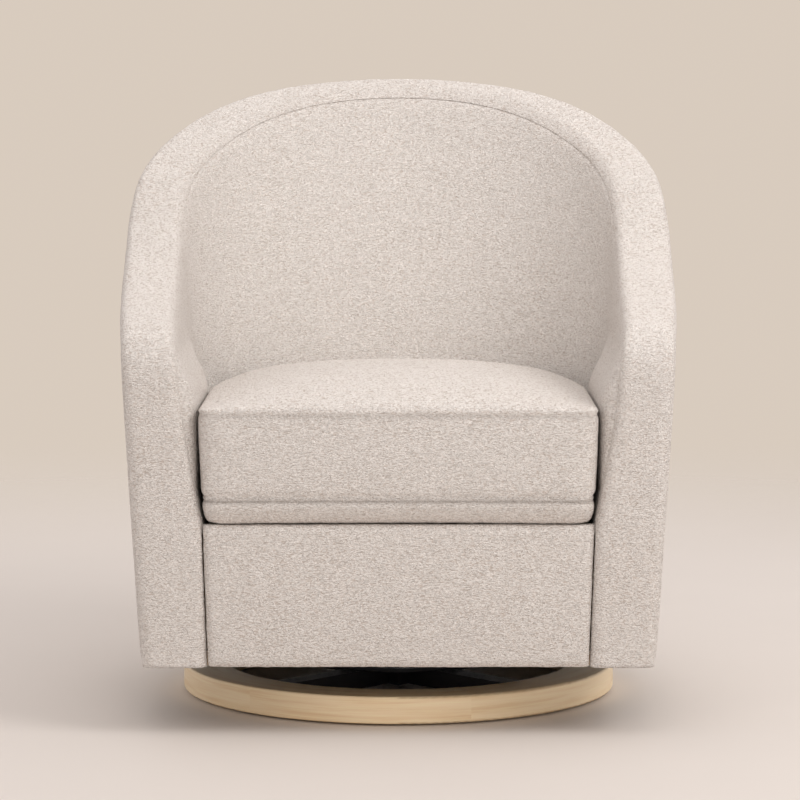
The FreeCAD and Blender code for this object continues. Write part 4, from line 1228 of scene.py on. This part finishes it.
    def sew(self, obj: Object) -> None:
        """Draws in the cloth at both seams, raises the sewn edge between two grooves and marks painted
        shade along both seams.

        Args:
            obj: The blown-up cushion.
        """
        points, normals = get_points(obj.data), get_normals(obj.data)
        side = smooth_step(0.25, 0.7, np.hypot(normals[:, 0], normals[:, 1]))
        low_gap = points[:, 2] - self.seam_low
        groove = -0.0050 * bell(low_gap, 0.0050) + 0.0036 * bell(low_gap, 0.0022)
        high_gap = points[:, 2] - (self.high - 0.004)
        ridge = -0.0016 * bell(high_gap + 0.004, 0.003) + 0.0012 * bell(high_gap, 0.0024)
        # Painted shade just below both seam lines, for the cloth's finish.
        shade = bell(low_gap + 0.003, 0.0030) + 0.5 * bell(high_gap + 0.006, 0.0030)
        paint_seam_shade(obj, side * shade)
        set_points(obj.data, points + normals * (side * (groove + ridge))[:, None])

    def build(self) -> None:
        """Makes the cushion."""
        obj = self.block()
        self.shape_block(obj)
        self.blow_up(obj)
        smooth = obj.modifiers.new("settle", "SMOOTH")
        smooth.factor = 0.5
        smooth.iterations = 4
        fine = obj.modifiers.new("fine", "SUBSURF")
        fine.levels = fine.render_levels = 1
        self.apply(obj)
        for face in obj.data.polygons:
            face.use_smooth = True
        self.sew(obj)
        nub_cloth(obj, height=0.0004, seed=41)
        self.settle(obj, "seat_cushion_cover", "seat_cushion_core")


@dataclass
class Deck(WrappedPiece):
    """Padded deck under the cushion, in lining cloth, with shallow sewn channels."""

    name: str = "deck_lining"
    node: str = "deck_pad"
    slot: str = "foam"
    fill: float = 0.8

    def point(self, along: Array, place: Array) -> Array:
        """Point of the deck, over its top and back under it.

        Args:
            along: From 0 at the left end to 1 at the right.
            place: From 0 to 1 round the section.

        Returns:
            Points of the piece.
        """
        (_, y0, z0), (_, y1, z1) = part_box("deck_pad")
        over = np.clip(place / 0.86, 0, 1)
        t = np.where(place < 0.86, 2 * over - 1, 1 - 2 * (place - 0.86) / 0.14)
        s = 2 * along - 1
        y = (y0 + y1) / 2 + s * (y1 - y0) / 2 * 0.998
        level = np.full_like(y, (z0 + z1) / 2)
        half = INSIDE.half_width(y, level) - 0.003
        x = t * half
        edge = np.clip((1 - np.abs(t)) * half / 0.012, 0, 1)
        end = np.clip((1 - np.abs(s)) * 0.25 / 0.012, 0, 1)
        puff = np.sqrt(1 - (1 - edge) ** 2) * np.sqrt(1 - (1 - end) ** 2)
        channel = 0.0012 * np.exp(-((np.mod(x + 0.3, 0.12) - 0.06) / 0.004) ** 2)
        z = np.where(place < 0.86, z0 + (z1 - z0 - 0.001) * puff - channel * puff, z0)
        return np.stack([x, y, z], axis=-1)


@dataclass(frozen=True)
class Cut:
    """Where one cloth is cut from a node's outline, in plan.

    Args:
        low_x: Left limit.
        high_x: Right limit.
        low_y: Front limit.
        high_y: Rear limit.
    """

    low_x: float = -1.0
    high_x: float = 1.0
    low_y: float = -1.0
    high_y: float = 1.0

    def trim(self, bm: BMesh) -> None:
        """Cuts a mesh off at the four limits and closes what is left.

        Args:
            bm: Mesh of the whole outline.
        """
        limits = (((-1, 0, 0), self.low_x), ((1, 0, 0), self.high_x),
                  ((0, -1, 0), self.low_y), ((0, 1, 0), self.high_y))
        for outward, limit in limits:
            point = Vector(outward) * (limit * sum(outward))
            bmesh.ops.bisect_plane(bm, geom=[*bm.verts, *bm.edges, *bm.faces], plane_co=point,
                                   plane_no=Vector(outward), dist=1e-6, clear_outer=True)
            close_holes(bm)


@dataclass
class DustCloth:
    """Black dust cloth: the skirt under the plate, in three cuts, and the panel over the mechanism."""

    finishes: Finishes
    frame: dict[str, Any]
    cell: float = 0.02

    def sheet(self, name: str, node: str, sag: float, cut: Cut) -> None:
        """Makes one cloth from the node that holds its outline.

        Args:
            name: Name of the new piece.
            node: Node that it stands for.
            sag: How far it hangs between its edges.
            cut: Which part of the outline it is.
        """
        source = bpy.data.meshes.new_from_object(self.frame["nodes"][node])
        bm = bmesh.new()
        bm.from_mesh(source)
        bmesh.ops.remove_doubles(bm, verts=bm.verts, dist=1e-5)
        bmesh.ops.dissolve_limit(bm, angle_limit=0.01, verts=bm.verts, edges=bm.edges)
        cut.trim(bm)
        spans = [(min(v.co[axis] for v in bm.verts), max(v.co[axis] for v in bm.verts)) for axis in (0, 1)]
        for axis, (low, high) in enumerate(spans):
            count = max(2, int((high - low) / self.cell))
            for i in range(1, count):
                normal, point = Vector((0, 0, 0)), Vector((0, 0, 0))
                normal[axis], point[axis] = 1.0, low + (high - low) * i / count
                bmesh.ops.bisect_plane(bm, geom=[*bm.verts, *bm.edges, *bm.faces],
                                       plane_co=point, plane_no=normal, dist=1e-6)
        obj = finish_object(name, bm)
        points = get_points(obj.data)
        points[:, 2] += sag * lattice_noise(points * np.array([22.0, 22.0, 0.0]), 5)
        set_points(obj.data, points)
        bpy.data.meshes.remove(source)
        self.finishes.dress(obj, "cambric")
        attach(obj, "seat")
        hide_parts(node)

    def build(self) -> None:
        """Makes the four cloths."""
        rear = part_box("rear_rail")[1][1] - 0.011
        cuts = {
            "left": Cut(high_x=0.0, high_y=rear - 0.0008),
            "right": Cut(low_x=0.0, high_y=rear - 0.0008),
            "rear": Cut(low_y=rear),
        }
        for side, cut in cuts.items():
            self.sheet(f"dust_skirt_{side}", "dust_skirt", 0.0004, cut)
        self.sheet("dust_panel_cloth", "dust_panel", 0.0012, Cut())


@dataclass
class Hardware:
    """Everything hard, which keeps the frame's own shape and gets its finish."""

    finishes: Finishes
    frame: dict[str, Any]

    def build(self) -> None:
        """Dresses each node by the record's slots."""
        slots = {part["node"]: part["material_slot"] for part in self.frame["record"]["subparts"]}
        for name, obj in self.frame["nodes"].items():
            self.finishes.dress(obj, slots[name])
            log.info("%s: %s", name, slots[name])


@dataclass
class Studio:
    """Pale floor that fades into the backdrop, soft lights and the camera."""

    backdrop: Colour = (0.69, 0.60, 0.515)
    room: Colour = (0.755, 0.71, 0.69)
    floor: Colour = (0.80, 0.745, 0.70)
    distance: float = 4.5
    eye: float = 0.845
    pitch: float = 5.55
    lens: float = 143.8

    def build_floor(self) -> None:
        """Makes the floor."""
        bm = bmesh.new()
        bmesh.ops.create_circle(bm, cap_ends=True, radius=4.0, segments=128)
        obj = finish_object("studio_floor", bm, smooth=False)
        graph, shader, place = new_material("studio_floor")
        far = graph.add("ShaderNodeVectorMath", {0: place}, operation="LENGTH").outputs["Value"]
        cloud = graph.noise(place, 3.0, 3.0).outputs[0]
        shade = shaded(self.floor, 0.96)
        colour = graph.mix(cloud, self.floor, shade)
        graph.feed(shader, {"Base Color": colour, "Roughness": 0.7, "Specular IOR Level": 0.2})
        fade = graph.math("SUBTRACT", 1.0, graph.ramp(far, 1.0, 3.4))
        graph.feed(shader, {"Alpha": fade})
        obj.data.materials.append(bpy.data.materials["studio_floor"])

    def area(self, name: str, place: Colour, aim: Colour, size: float, power: float, tint: Colour,
             spread: float = 180.0) -> None:
        """Adds a soft square light.

        Args:
            name: Name of the light.
            place: Where it stands.
            aim: What it points at.
            size: Side of the square.
            power: Its power in watts.
            tint: Its colour.
            spread: How wide its beam is, in degrees.
        """
        lamp = bpy.data.lights.new(name, "AREA")
        lamp.shape, lamp.size, lamp.energy, lamp.color = "SQUARE", size, power, tint
        lamp.spread = math.radians(spread)
        obj = bpy.data.objects.new(name, lamp)
        way = Vector(aim) - Vector(place)
        obj.matrix_world = Matrix.Translation(place) @ way.to_track_quat("-Z", "Y").to_matrix().to_4x4()
        bpy.context.scene.collection.objects.link(obj)

    def build_lights(self) -> None:
        """Adds the soft lights and the even glow of the room."""
        self.area("key_light", (2.5, -1.8, 2.9), (0, 0, 0.4), 1.8, 48.0, (1.0, 0.975, 0.95))
        self.area("low_light", (1.0, -4.2, 0.9), (0, 0, 0.3), 2.0, 9.0, (1.0, 0.975, 0.95))
        self.area("top_light", (0.2, -1.4, 3.3), (0, 0.2, 0.6), 2.2, 8.0, (1.0, 0.975, 0.955))
        self.area("back_light", (0.25, -2.6, 2.1), (0, 0.3, 0.80), 0.9, 0.8, (1.0, 0.975, 0.955), 40.0)
        self.area("rear_light", (-1.0, 3.4, 2.4), (0, 0, 0.4), 2.4, 8.0, (1.0, 0.97, 0.94))
        world = bpy.data.worlds.new("room")
        world.use_nodes = True
        graph = Graph(world.node_tree)
        seen = graph.add("ShaderNodeLightPath").outputs["Is Camera Ray"]
        colour = graph.mix(seen, self.room, self.backdrop)
        glow = graph.add("ShaderNodeBackground", {"Color": colour, "Strength": 1.0})
        graph.add("ShaderNodeOutputWorld", {"Surface": glow.outputs[0]})
        bpy.context.scene.world = world
        bpy.context.scene.view_settings.view_transform = "Standard"

    def build_camera(self) -> None:
        """Adds the camera."""
        data = bpy.data.cameras.new("camera")
        data.lens, data.sensor_width = self.lens, 36.0
        obj = bpy.data.objects.new("camera", data)
        obj.location = (0.0021, -self.distance, self.eye)
        obj.rotation_euler = (math.radians(90 - self.pitch), 0, 0)
        bpy.context.scene.collection.objects.link(obj)
        bpy.context.scene.camera = obj

    def build(self) -> None:
        """Makes the studio."""
        self.build_floor()
        self.build_lights()
        self.build_camera()


def main() -> None:
    """Builds the chair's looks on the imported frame."""
    logging.basicConfig(level=logging.INFO, format="%(name)s %(message)s")
    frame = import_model()
    bpy.context.view_layer.update()
    finishes = Finishes()
    Hardware(finishes, frame).build()
    for soft_piece in (RimBand, InsidePad, OutsideCover, Apron, SeatCushion, Deck):
        soft_piece(finishes).build()
    DustCloth(finishes, frame).build()
    Studio().build()
    bpy.context.view_layer.update()


if __name__ == "__main__":
    main()
